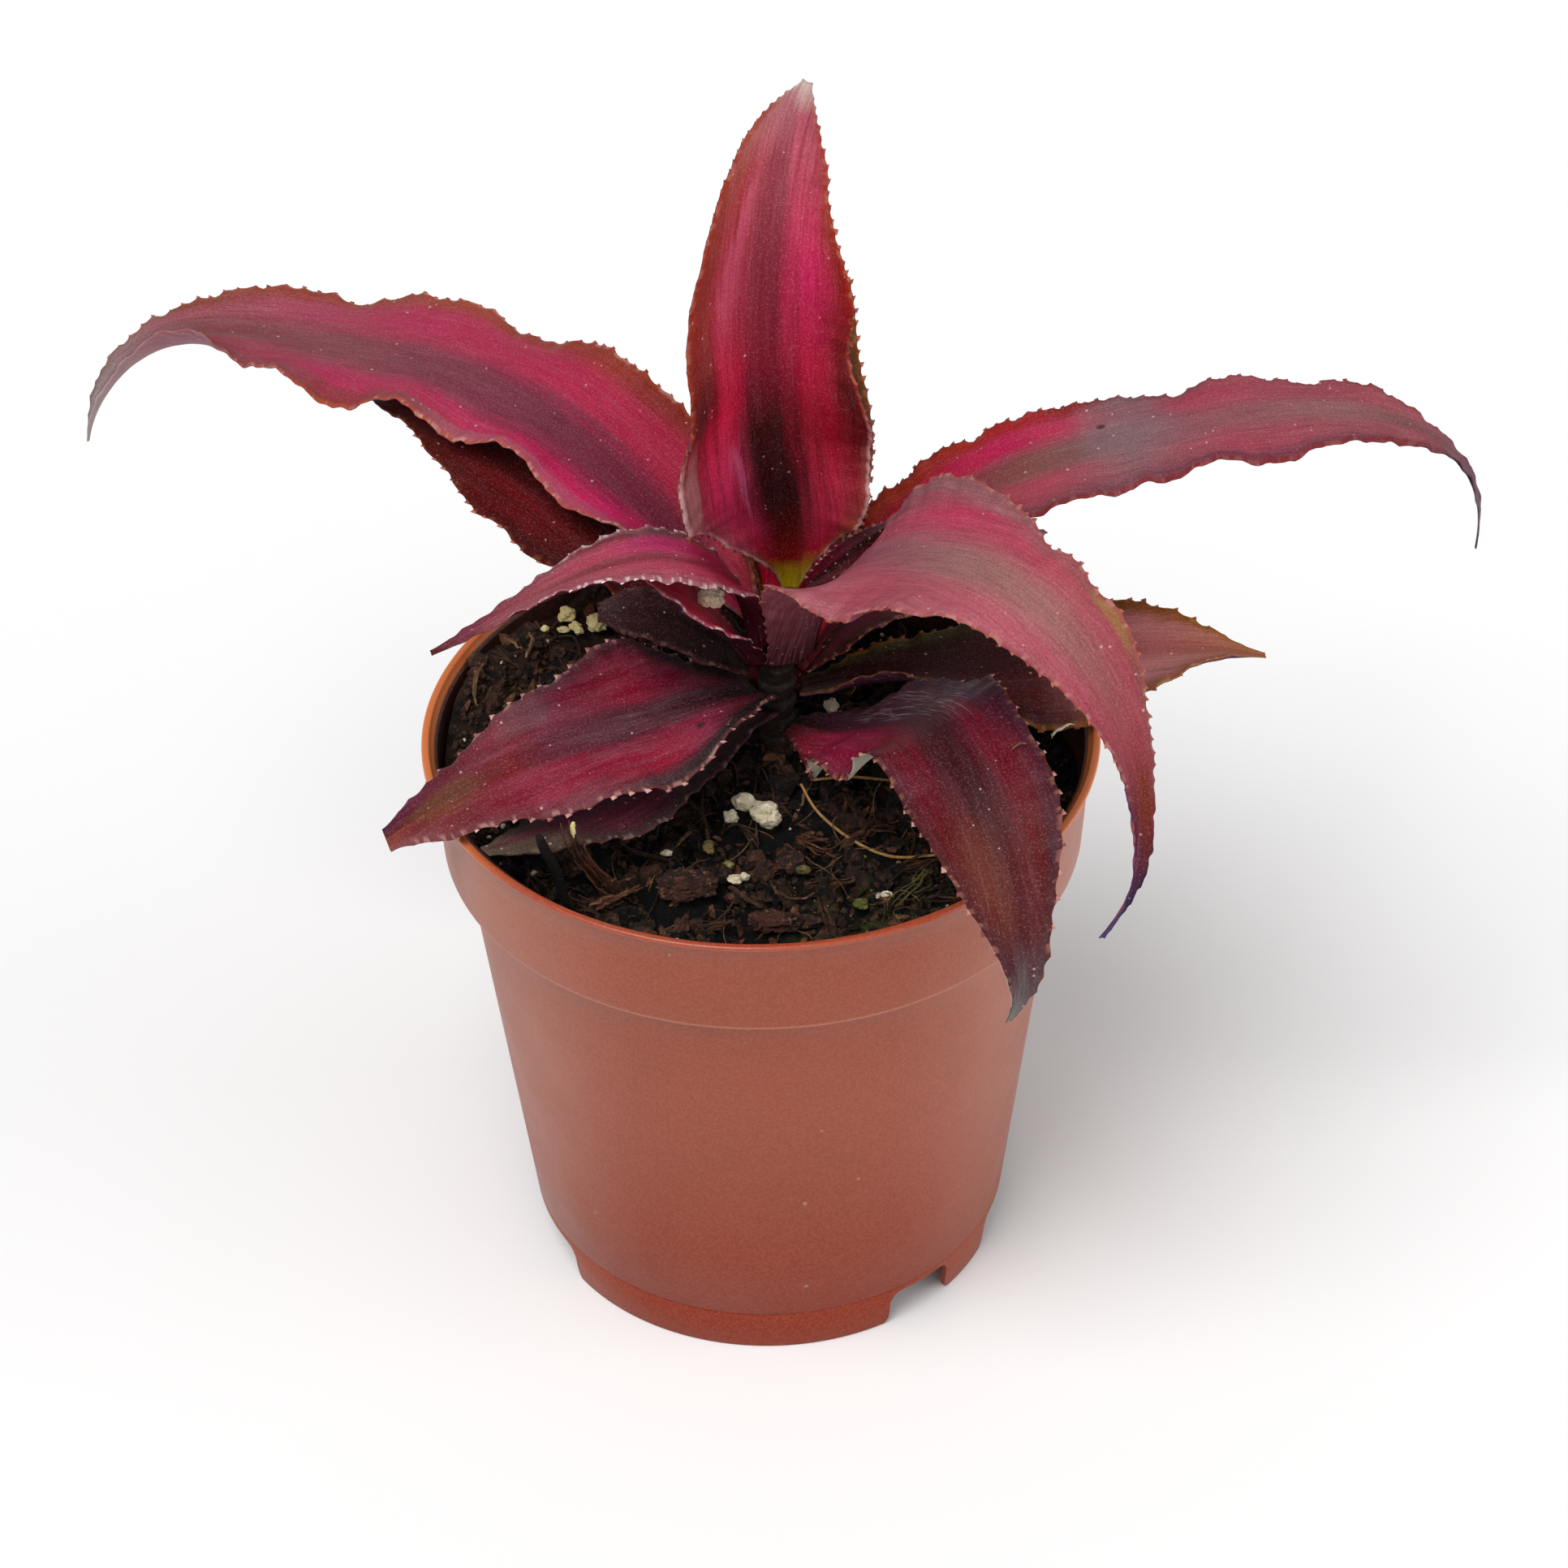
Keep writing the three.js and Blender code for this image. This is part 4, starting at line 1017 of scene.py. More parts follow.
def leaf_paint(name, look, seed):
    """The upper face of one leaf."""
    p = LeafPaint(name, look, seed)
    s, lines = p.s, p.lines
    # the bands' borders wander with the streaks
    bend = p.scaled(lines["Streak"], 0.36, -0.14)
    u = p.u = p.plus(p.u, p.scaled(lines["Wobble"], look.get("wobble", 0.16), bend))
    away = p.sum("DIVIDE", p.sum("ABSOLUTE", p.minus(u, p.follow("rib_centre"))), p.follow("rib_half"))
    band = p.mix(p.step(u, -0.15, 0.15), p.tones("right_band"), p.tones("left_band"))
    flow = p.times(p.step(lines["Streak"], 0.48, 0.74), look.get("streak_share", 0.5))
    band = p.mix(flow, band, pigment(look["streak"]))
    soft = look.get("soft", 0.6)
    colour = p.mix(p.step(away, 1 - soft, 1 + soft), p.tones("rib"), band)
    for side, label in ((1.0, "left"), (-1.0, "right")):
        over = p.minus(p.times(u, side), p.follow(label + "_from"))
        colour = p.mix(p.step(over, -0.18, 0.18), colour, p.tones(label + "_margin"))
    # patches and bundles of lines that only this leaf has
    for tone, share, *oval in look.get("patches", ()):
        out = p.plus(p.away_from(*oval), p.scaled(lines["Patch"], 0.8, -0.4))
        colour = p.mix(p.times(p.step(out, 0.5, 1.2, 1.0, 0.0), share), colour, pigment(tone))
    for tone, share, *oval in look.get("lines", ()):
        thread = p.times(p.step(lines["Fine"], 0.53, 0.66), p.step(p.away_from(*oval), 0.5, 1.1, 1.0, 0.0))
        colour = p.mix(p.times(thread, share), colour, pigment(tone))
    colour = p.mix(p.step(lines["Fine"], 0.4, 0.75, 0.0, 0.3), colour, pigment("3c1020"))
    # the dust of scales, in lines and in dots
    haze_noise = p.noise(p.stretch(p.place, 0.5, 0.06, 0), 1.0, 4.0, 0.6)
    haze = p.times(p.step(haze_noise, 0.3, 0.8), p.follow("haze"))
    haze = p.times(haze, p.scaled(p.step(lines["Fine"], 0.48, 0.32), 0.9, 0.5))
    colour = p.mix(haze, colour, SCURF)
    grain = p.noise(p.object, 3800.0, 2.0, 0.7)
    colour = p.mix(p.step(grain, 0.6, 0.3, 0.0, 0.22), colour, pigment("280a14"))
    colour = p.mix(p.step(grain, 0.5, 0.8, 0.0, 0.16), colour, SCURF)
    dots = use_group(p, speck_group, Where=p.object, Scale=950.0, Share=look.get("dots", 0.12), Size=0.17)
    colour = p.mix(p.times(dots["Mask"], 0.45), colour, srgb("dcb8b8"))
    # the thin edge, which ends before the tip and where the leaf is narrow
    spot = p.parts(p.place)
    rim = p.step(spot["Z"], 0.15, 0.9, look.get("rim_share", 0.7), 0.0)
    half_width = p.plus(p.sum("ABSOLUTE", spot["X"]), spot["Z"])
    rim = p.times(rim, p.step(half_width, 1.2, 4.2))
    rim = p.times(rim, p.step(s, *look.get("rim_ends", (0.94, 1)), 1.0, 0.0))
    pale_here = p.step(p.noise(p.stretch(p.place, 0.2, 0.9, 0), 1.0, 1.0), 0.5, 0.62)
    rim_tone = p.mix(pale_here, pigment(look["rim"]), pigment(look["rim_light"]))
    if "rim_foot" in look:
        foot_tone, foot_end = look["rim_foot"]
        rim_tone = p.mix(p.step(s, foot_end - 0.06, foot_end + 0.04, 1.0, 0.0), rim_tone, pigment(foot_tone))
    colour = p.mix(rim, colour, rim_tone)
    relief = p.plus(lines["Fine"], p.times(grain, 0.35))
    rough = p.step(haze_noise, 0.3, 0.8, look.get("gloss", 0.42), 0.6)
    return p.finish(colour, rough, relief, BUMP, specular=0.12)


def underside_paint(name, look, seed):
    """The lower face: dull, with grey scales in lengthwise lines."""
    p = LeafPaint(name, look, seed + 0.5)
    lines = p.lines
    base, grey = look.get("under", ("543042", "968490"))
    foot, tip = look.get("under_foot", base), look.get("under_tip", base)
    tones = ((0, foot), (0.16, base), (0.84, base), (1, tip))
    shade = p.ramp(p.s, [(at, pigment(tone)) for at, tone in tones])
    colour = p.mix(p.step(lines["Patch"], 0.35, 0.7, 0.0, 0.4), shade, p.mix(0.45, shade, pigment("1e0e16")))
    dust = p.times(p.step(lines["Fine"], 0.42, 0.68), 0.22)
    colour = p.mix(dust, colour, srgb(grey))
    flecks = use_group(p, speck_group, Where=p.object, Scale=1300.0, Share=0.35, Size=0.3)
    colour = p.mix(p.times(flecks["Mask"], 0.25), colour, srgb("bea0a6"))
    relief = p.plus(lines["Fine"], p.times(flecks["Mask"], 0.5))
    rough = p.step(lines["Streak"], 0.3, 0.7, 0.5, 0.68)
    return p.finish(colour, rough, relief, BUMP, specular=0.12)


def tooth_paint(name, dark, light):
    """Horn, mottled with a dark and a light tone."""
    p = Paint(name)
    tone = p.noise(p.object, 340.0, 2.0)
    fine = p.noise(p.object, 2500.0)
    colour = p.mix(p.step(tone, 0.38, 0.6), srgb(dark), srgb(light))
    return p.finish(colour, p.step(fine, 0.3, 0.7, 0.4, 0.6), fine, 0.00003)


print("the streaks' group has", len(streak_group.nodes), "nodes")

# %% [markdown]
# ## Each leaf's colours
# No two leaves of the rosette look alike: young ones are clear pink, the arching front one is pale
# and dusty, low ones are plum and brown. Each look below gives colours from base to tip for the
# midrib stripe, the bands and the margin, and what is special about that leaf.

# %% Looks
# colours and levels are {percent of the way from base to tip: value}; rib_half, left_from and
# right_from say where a stripe ends, from 0 in the middle to 1 on the margin; a patch is a colour,
# its share, then place and half size along the leaf and across it
PLAIN = dict(
    rib_centre={0: 0, 100: 0}, rib_half={0: 0.28, 100: 0.22}, left_from={0: 0.72, 100: 0.75},
    right_from={0: 0.72, 100: 0.75}, rib={0: "461824", 50: "54222e", 100: "703e44"},
    left_band={0: "78162e", 50: "7c2036", 100: "703840"},
    left_margin={0: "461e24", 50: "5a2a2a", 100: "603c3a"}, streak="60222e", rim="6e3628",
    rim_light="aa7864", teeth=(2.2, 0.8), haze={0: 0.04, 70: 0.08, 90: 0.2, 100: 0.4})
LOOKS = {}


def leaf_look(name, **own):
    """Notes what is special about a leaf. What isn't named for the right side is as on the left."""
    look = {**PLAIN, **own}
    look.setdefault("right_band", look["left_band"])
    look.setdefault("right_margin", look["left_margin"])
    LOOKS[name] = look


leaf_look(
    "leaf_upright", rib_centre={0: 0.1, 40: 0.1, 100: 0.1}, rib_half={0: 0.5, 14: 0.34, 30: 0.29, 55: 0.28,
        80: 0.25, 100: 0.12},
    rib={0: "a69828", 3.5: "98801e", 6: "741820", 13: "541822", 20: "36141c", 38: "3e1822", 52: "742632",
        70: "702c36", 84: "7c3640", 93: "90545c", 100: "b4a096"},
    left_band={0: "a69828", 3.5: "987c1c", 7: "861e2c", 15: "b03656", 30: "ba365a", 45: "b82842",
        60: "9e3044", 82: "923c44", 94: "9a5e64", 100: "b4a298"},
    right_band={0: "a69828", 4: "987c1c", 8: "9c2636", 16: "bc3a54", 35: "982634", 50: "9e263c",
        66: "a82a4e", 80: "9c384c", 92: "9a4e5a", 100: "b4a298"},
    left_margin={0: "928218", 5: "644222", 12: "924654", 22: "964654", 30: "601824", 42: "78222e",
        50: "500c1c", 60: "80322e", 80: "863c36", 92: "9c6464", 100: "b4a298"},
    right_margin={0: "928218", 10: "964e36", 20: "883436", 34: "6e1e28", 46: "54101e", 60: "842a2e",
        74: "7e2e24", 88: "98424a", 100: "ae908a"}, left_from={0: 0.86, 25: 0.78, 50: 0.62, 70: 0.68,
        85: 0.74, 100: 0.86}, right_from={0: 0.86, 20: 0.7, 45: 0.56, 70: 0.66, 100: 0.82}, streak="84162a",
    streak_share=0.6, gain=1.3, soft=0.7, patches=[("c46c92", 0.45, (0.27, 0.1), (0.47, 0.09)),
        ("c4607c", 0.3, (0.7, 0.12), (0.5, 0.1)), ("b07476", 0.75, (0.31, 0.12), (0.92, 0.15)),
        ("a0544e", 0.6, (0.24, 0.12), (-0.93, 0.14))], rim_foot=("cea6a6", 0.42),
    haze={0: 0.03, 70: 0.05, 90: 0.15, 100: 0.3}, teeth=(1.8, 0.75), hollow=0.42, rim="8c3422",
    rim_light="a05a4c")
leaf_look(
    "leaf_back_shaded", rib={0: "961832", 20: "82182c", 30: "401c1c", 100: "542c24"},
    left_band={0: "b01a3a", 20: "961a32", 30: "461a1e", 100: "5e2c28"}, gain=1.3,
    left_margin={0: "3c261e", 100: "643e28"}, streak="3c1e1c", haze={0: 0, 100: 0.02},
    under=("4a2420", "684034"), rim="6e3e24", rim_light="865c3c")
leaf_look(
    "leaf_left_long", rib_centre={0: 0.1, 20: 0.22, 40: 0.28, 58: 0.22, 70: 0.08, 82: -0.06, 100: -0.2},
    rib_half={0: 0.22, 30: 0.36, 55: 0.34, 80: 0.27, 100: 0.2},
    rib={0: "682434", 20: "782e3e", 40: "803c4c", 65: "8e4e56", 80: "884e52", 90: "8c7070", 100: "9c968e"},
    left_band={0: "ba1e4a", 20: "ce2662", 30: "c42658", 45: "be365c", 62: "ba385c", 72: "ac465c",
        82: "8e4a4c", 100: "968e88"},
    right_band={0: "a01c36", 20: "b22a46", 35: "b83252", 55: "b63a5a", 70: "ac4c62", 82: "96545c",
        90: "927876", 100: "968e88"},
    left_margin={0: "8c324a", 20: "ba5470", 34: "b66e7c", 46: "965458", 58: "8c423a", 70: "a04a54",
        80: "7c3c2e", 90: "7c463e", 100: "9c968e"},
    right_margin={0: "782024", 20: "862c28", 30: "923a2c", 50: "a04e3e", 70: "9c4a3a", 82: "924e42",
        92: "94706a", 100: "9c968e"}, left_from={0: 0.84, 40: 0.9, 65: 0.84, 100: 0.76},
    right_from={0: 0.64, 40: 0.72, 80: 0.68, 100: 0.66}, streak="a24256", streak_share=0.4, gain=0.82,
    hollow=0.35, under=("96606a", "baa0a2"), under_tip="aca4a0",
    haze={0: 0.03, 60: 0.08, 82: 0.18, 100: 0.45}, teeth=(2.2, 0.65), rim="9e4a36", rim_light="be847a",
    rim_ends=(0.66, 0.86))
leaf_look(
    "leaf_front_left_arching", rib_centre={0: 0.2, 100: 0.1}, rib_half={0: 0.14, 100: 0.2},
    rib={0: "82142e", 30: "96223c", 45: "943c4a", 60: "8e3e46", 75: "984e52", 85: "964a54", 100: "56162a"},
    left_band={0: "961030", 26: "b42048", 38: "bc4a64", 50: "b64e62", 70: "ac5c66", 82: "a65e68",
        90: "7e3c4a", 100: "541026"},
    right_band={0: "aa143c", 20: "ba1e50", 32: "b42854", 44: "c83a70", 56: "b64860", 75: "a04a56",
        90: "783246", 100: "541026"},
    left_margin={0: "8c1e36", 30: "a4505c", 50: "a0565e", 80: "96545a", 100: "501428"},
    right_margin={0: "782836", 30: "7c3e3a", 45: "723c3e", 60: "6e343a", 80: "7e3844", 100: "5a1428"},
    left_from={0: 0.84, 100: 0.88}, right_from={0: 0.66, 100: 0.64}, wobble=0.3, streak="88283c", gain=0.8,
    haze={0: 0.08, 80: 0.14, 100: 0.06}, teeth=(2.2, 0.7), dots=0.3, rim="966068", rim_share=0.8,
    rim_light="ceb8b6", under=("501e2e", "785c64"), tooth="pale")
leaf_look(
    "leaf_left_cupped", rib={0: "aa1436", 100: "a0223e"}, left_band={0: "b0163a", 100: "a42842"},
    left_margin={0: "96283c", 100: "8c3c48"}, gain=1.5, teeth=(1.6, 0.5), rim="965058", rim_light="ceb4b2",
    dots=0.2, under=("42262c", "5c4e54"), tooth="pale")
leaf_look(
    "leaf_front_right_arching", rib_centre={0: 0.4, 20: 0.3, 27: 0.18, 36: 0.04, 60: -0.02, 100: 0},
    rib_half={0: 0.2, 30: 0.26, 60: 0.34, 80: 0.3, 100: 0.3},
    rib={0: "965060", 20: "9c626e", 32: "a0686e", 42: "9c6e6a", 52: "9c6662", 62: "98585a", 70: "944248",
        79: "6e2e22", 86: "5a2c34", 93: "42325c", 100: "484276"},
    left_band={0: "aa5060", 20: "b85468", 34: "be4262", 44: "b44a5e", 54: "aa525a", 70: "9a464e",
        77: "7c2a24", 85: "68282a", 92: "463054", 100: "484276"},
    right_band={0: "ac5a68", 20: "c6707c", 30: "b85868", 45: "b45c68", 60: "a8505c", 70: "9c4450",
        78: "722c2e", 86: "542a3c", 93: "40305a", 100: "484276"},
    left_margin={0: "a0606a", 25: "8c5a60", 40: "965c60", 50: "9c545c", 60: "965c54", 70: "86464a",
        78: "742622", 88: "422a46", 100: "463e6e"},
    right_margin={0: "a0606a", 14: "cc868e", 30: "bc6e78", 60: "ae5c68", 70: "8c4054", 80: "562c54",
        100: "463e74"}, left_from={0: 0.76, 40: 0.82, 70: 0.8, 100: 0.76}, right_from={0: 0.84, 100: 0.8},
    patches=[("967a3e", 0.55, (0.58, 0.035), (0.88, 0.14)), ("723218", 0.65, (0.79, 0.06), (0.2, 0.45))],
    streak="9e505a", soft=0.8, gain=0.87, haze={0: 0.12, 40: 0.12, 70: 0.06, 100: 0.08}, teeth=(2.0, 0.6),
    rim="904c48", rim_light="ac746e", under=("8c4c56", "ac7880"), under_foot="3c1a24")
leaf_look(
    "leaf_right_long", rib_centre={0: 0, 100: 0.05}, rib_half={0: 0.2, 40: 0.3, 100: 0.26},
    rib={0: "8c1830", 22: "8c2a3a", 36: "804c4a", 46: "7c5e62", 56: "8e545c", 72: "8a5c5e", 86: "72464c",
        100: "50445a"},
    left_band={0: "b01836", 20: "b41e3c", 34: "bc2652", 42: "ac3c54", 47: "8c565c", 55: "a04254",
        70: "964a54", 80: "964e56", 88: "704048", 100: "50445a"},
    right_band={0: "961e36", 28: "963e4a", 38: "aa4858", 47: "865c60", 58: "a64656", 70: "965058",
        80: "904c54", 88: "6c4048", 100: "50445a"},
    left_margin={0: "963228", 20: "a43824", 36: "a62820", 42: "802c28", 48: "70484c", 60: "8a4248",
        80: "7c4046", 100: "4e4256"},
    right_margin={0: "783236", 40: "74424a", 60: "743e4a", 80: "6a3c44", 100: "4e4256"},
    left_from={0: 0.66, 30: 0.8, 60: 0.88, 100: 0.86}, right_from={0: 0.84, 50: 0.74, 100: 0.8},
    patches=[("7e686c", 0.42, (0.47, 0.055), (0.3, 0.9)), ("461418", 0.9, (0.445, 0.005), (0.34, 0.045)),
        ("7e5042", 0.25, (0.37, 0.06), (-0.05, 0.3))], streak="7e444e", gain=0.92, dots=0.2,
    haze={0: 0.03, 35: 0.08, 80: 0.1, 100: 0.2}, teeth=(1.5, 0.6), hollow=0.35, rim="762e2c",
    rim_light="864a48", under=("401a22", "786468"))
leaf_look(
    "leaf_left_stub", rib={0: "2a161b", 100: "382024"}, left_band={0: "30181e", 100: "3e2228"},
    left_margin={0: "28181b", 100: "3e282a"}, streak="341c21", haze={0: 0.02, 100: 0.04}, teeth=(1.7, 0.4),
    rim="4a302e", rim_light="785c56", rim_share=0.5)
leaf_look(
    "leaf_left_dark", rib={0: "2c0e12", 50: "541422", 100: "5a2822"},
    left_band={0: "3c0e16", 36: "5c1222", 50: "721228", 62: "681a18", 72: "622414", 100: "5c2a18"},
    left_margin={0: "321414", 40: "4a1614", 60: "5a2010", 100: "5c361e"}, streak="421018",
    haze={0: 0.02, 100: 0.03}, teeth=(2.3, 0.75), rim="542612", rim_light="6c4024", gain=0.9)
# the near-black colours at this leaf's foot are painted shade
leaf_look(
    "leaf_front_left_broad", rib_half={0: 0.24, 50: 0.26, 80: 0.18, 100: 0.2},
    rib={0: "28161a", 16: "3c222a", 30: "562e36", 45: "603640", 58: "662e3a", 68: "761a28", 80: "602024",
        100: "622c2a"},
    left_band={0: "38161c", 12: "6a2030", 22: "962e48", 36: "98203e", 50: "8e243c", 62: "922e42",
        80: "782a32", 92: "7a3030", 100: "90483e"},
    right_band={0: "32161c", 20: "702236", 32: "961e3c", 46: "802238", 56: "7c3648", 66: "842e3c",
        80: "6e2632", 100: "58263e"},
    left_margin={0: "281e1e", 30: "2e2828", 42: "4c3c3e", 52: "7a3e48", 70: "783642", 90: "7e464c",
        100: "92504c"},
    right_margin={0: "282022", 30: "322c30", 45: "3c3036", 60: "743e4a", 78: "5c2e34", 92: "522a42",
        100: "583244"}, left_from={0: 0.56, 30: 0.78, 60: 0.86, 100: 0.86},
    right_from={0: 0.56, 30: 0.84, 100: 0.82}, wobble=0.34, gain=0.83, streak="561e2e", streak_share=0.7,
    haze={0: 0.03, 30: 0.12, 100: 0.08}, teeth=(2.8, 0.8), rim="683e3e", rim_light="a87a74", gloss=0.4,
    tooth="rosy", patches=[("400a12", 0.9, (0.24, 0.014), (0.52, 0.06)),
        ("8c1432", 0.6, (0.42, 0.12), (0.66, 0.1)), ("6c4c2c", 0.4, (0.84, 0.1), (0.1, 0.5)),
        ("5c4e4c", 0.4, (0.6, 0.08), (-0.6, 0.3))], lines=[("aa7886", 0.3, (0.3, 0.25), (0.3, 0.6))])
leaf_look(
    "leaf_right_brown", rib={0: "2c181a", 50: "422026", 75: "8a4e4e", 100: "7a4c32"},
    left_band={0: "2e221c", 35: "382822", 50: "4a2226", 72: "965c5c", 100: "845438"},
    right_band={0: "2c181a", 50: "4a1e26", 72: "986262", 100: "80543c"},
    left_margin={0: "323222", 30: "3e3c28", 60: "583624", 80: "744224", 100: "825628"},
    right_margin={0: "281c1c", 50: "3e2024", 80: "86544c", 100: "7c5032"}, streak="5c3630", gain=1.4,
    haze={0: 0.03, 60: 0.06, 100: 0.1}, rim="784c26", rim_light="966e40")
leaf_look(
    "leaf_front_left_lowest", rib={0: "321a24", 50: "4c2432", 70: "642a3c", 100: "5c3e3e"},
    left_band={0: "3c1c28", 45: "5a2636", 66: "703042", 80: "583c3a", 100: "54483c"},
    left_margin={0: "2c2226", 50: "3c2e30", 80: "4c4038", 100: "544a3c"}, wobble=0.3, streak="3a222a",
    haze={0: 0.06, 60: 0.05, 100: 0.06}, teeth=(2.8, 0.5), dots=0.5,
    patches=[("544e3e", 0.5, (0.86, 0.14), (0.6, 0.6)), ("3c282c", 0.5, (0.7, 0.06), (0.7, 0.3))],
    rim="463432", rim_light="78645c", tooth="dark")
leaf_look(
    "leaf_front_right_low", rib_half={0: 0.2, 30: 0.3, 50: 0.28, 100: 0.26},
    rib_centre={0: 0.1, 30: 0.2, 50: 0.02, 100: 0},
    rib={0: "1e0e14", 10: "3a202c", 20: "4c2a3a", 35: "4a1e32", 50: "481428", 60: "461a28", 72: "542026",
        82: "54282c", 92: "62585a", 100: "827e76"},
    left_band={0: "28121a", 20: "582e3c", 34: "68283c", 42: "761438", 56: "721432", 70: "641c26",
        82: "5a2426", 90: "605054", 100: "807a72"},
    right_band={0: "3c0e1e", 8: "821234", 16: "9c1444", 30: "8e1640", 45: "70182e", 56: "6c2432",
        66: "641e26", 77: "622a22", 86: "502c32", 100: "78726c"},
    left_margin={0: "281a1e", 22: "563242", 40: "542e3e", 52: "4c2a38", 80: "4c2e2e", 100: "605a5a"},
    right_margin={0: "3c1824", 20: "642a3e", 36: "5c2036", 55: "3e202a", 80: "3e242a", 100: "585454"},
    left_from={0: 0.7, 20: 0.58, 42: 0.62, 56: 0.84, 100: 0.88}, under=("aaa092", "ded8ca"),
    right_from={0: 0.82, 40: 0.88, 60: 0.9, 100: 0.84}, wobble=0.3, gain=0.84, streak="461626",
    streak_share=0.6, dots=0.1, tooth="brown", lines=[("ceb8c2", 0.75, (0.3, 0.18), (0.5, 0.45))],
    patches=[("76422c", 0.3, (0.74, 0.1), (-0.2, 0.4))], haze={0: 0.03, 25: 0.06, 45: 0.04, 86: 0.1,
        100: 0.4}, teeth=(3.2, 0.75), rim="542c2e", rim_light="8c5c52")
leaf_look(
    "young_leaf", left_band={0: "6e182e", 50: "5c1a2e", 100: "6e3c46"},
    right_band={0: "541226", 100: "501628"},
    left_margin={0: "6e1a2e", 40: "702c3c", 70: "82545a", 100: "8c686a"},
    right_margin={0: "5a1a2c", 100: "501e2a"}, left_from={0: 0.4, 100: 0.3},
    rib={0: "3c0e1c", 100: "3a121e"}, streak="3c1420", dots=0.6, rim="966c6e", rim_light="c8acaa")
for name in ("leaf_back_right_low", "leaf_back_left_low", "leaf_back_low"):
    leaf_look(name)
print(len(LOOKS), "looks")

# %% [markdown]
# ## Grow the leaves
# Every leaf gets its own two finishes. The teeth are joined to their blade, so that one leaf stays
# one piece, as it is on the plant.

# %% Build every leaf
TEETH = {
    "red": tooth_paint("tooth_red", "702c20", "9e543c"),
    "rosy": tooth_paint("tooth_rosy", "884a4c", "c49288"),
    "brown": tooth_paint("tooth_brown", "68302e", "b07e6c"),
    "dark": tooth_paint("tooth_dark", "461a22", "965a5a"),
    "pale": tooth_paint("tooth_pale", "a0827c", "ded2cc"),
}


def leaf_paints(name, seed):
    """The finishes of a leaf's upper and lower face."""
    look = LOOKS[name]
    return leaf_paint(name + "_upper", look, seed), underside_paint(name + "_lower", look, seed)


def join_meshes(name, objects):
    """Joins objects into the first one."""
    with bpy.context.temp_override(active_object=objects[0], selected_editable_objects=list(objects)):
        bpy.ops.object.join()
    objects[0].name = name
    return objects[0]


YOUNG_SEED, YOUNG_HALF, YOUNG_LENGTH = 30, 1.4, 22
YOUNG_LEFT = [(5.8, 10.9, 98.5), (8.4, 11.2, 102.2), (11.9, 11.2, 105.6), (15.1, 10.4, 107.9),
              (18.4, 9.0, 110.2)]
YOUNG_RIGHT = [(6.5, 10.3, 98.0), (10.5, 10.2, 100.0), (13.7, 10.0, 102.8), (16.4, 9.4, 106.4),
               (18.6, 8.6, 110.0)]


def young_leaf():
    """A narrow young leaf, folded lengthwise, that stands between the upright and the arching leaf."""
    rows, wide = 60, 11
    left, right_edge = curve_through(YOUNG_LEFT, rows), curve_through(YOUNG_RIGHT, rows)
    facing = np.array((0, -0.78, 0.62))
    share = np.linspace(0, 1, wide)
    hollow = 1.1 * np.sin(np.pi * np.linspace(0.05, 0.9, rows))[:, None]
    across_leaf = left - right_edge
    upper = np.stack([right_edge + across_leaf * t - facing * hollow * math.sin(math.pi * t) ** 0.7
                      for t in share], 1)
    paints = leaf_paints("young_leaf", YOUNG_SEED)
    sheet = sheet_mesh("young_leaf_blade", upper, upper - facing * 0.35, paints)
    s, u = np.repeat(np.linspace(0, 1, rows), wide), np.tile(share * 2 - 1, rows)
    mark_sheet(sheet, u, s, np.stack([u * YOUNG_HALF, s * YOUNG_LENGTH, YOUNG_HALF * (1 - np.abs(u))], 1))
    smooth(sheet)
    spots = []
    for column, pitch, tooth in ((wide - 1, 1.05, 0.85), (wide // 2, 2.1, 0.5)):
        line = upper[2:-2, column]
        reach = reach_along(line)
        even = np.arange(0.8, reach[-1], pitch)
        at = even + 0.25 * np.sin(7 * even)
        edge, across, forward = read_at(at, reach, line, across_leaf[2:-2], np.gradient(line, axis=0))
        across /= np.maximum(np.linalg.norm(across, axis=1), 0.1)[:, None]
        forward /= np.linalg.norm(forward, axis=1)[:, None]
        aim = across * 0.9 + forward * 0.4 + facing * 0.3
        spots.append((edge, aim, np.tile(facing, (len(at), 1)), np.full(len(at), tooth)))
    thorns = make_thorns("young_leaf", spots, 0.7, TEETH["rosy"], YOUNG_SEED + 1)
    return show(join_meshes("leaf_young_narrow", [sheet, thorns]), "leaf")


AGED = {"leaf_front_left_broad", "leaf_back_right_low", "leaf_right_brown", "leaf_back_left_low",
        "leaf_front_left_lowest", "leaf_back_low", "leaf_front_right_low"}
for number, name in enumerate(LEAVES, start=1):
    look = LOOKS[name]
    horn, hollow = TEETH[look.get("tooth", "red")], look.get("hollow", 0.3)
    parts = build_blade(name, *look["teeth"], horn, leaf_paints(name, number), number, hollow)
    show(join_meshes(name + "_fine", parts), "aged_leaf" if name in AGED else "leaf", name)
young_leaf()
print(len(bpy.data.materials), "finishes so far")

# %% [markdown]
# ## Compost
# Potting compost is a heap of peat crumbs, bark and roots, so no smooth disc will do. The surface
# is a fine ring mesh lifted by layered noise. Over it a Geometry Nodes tree scatters crumbs, bark
# slivers, perlite dust and a few green grains of algae, each kind with its own size and number.


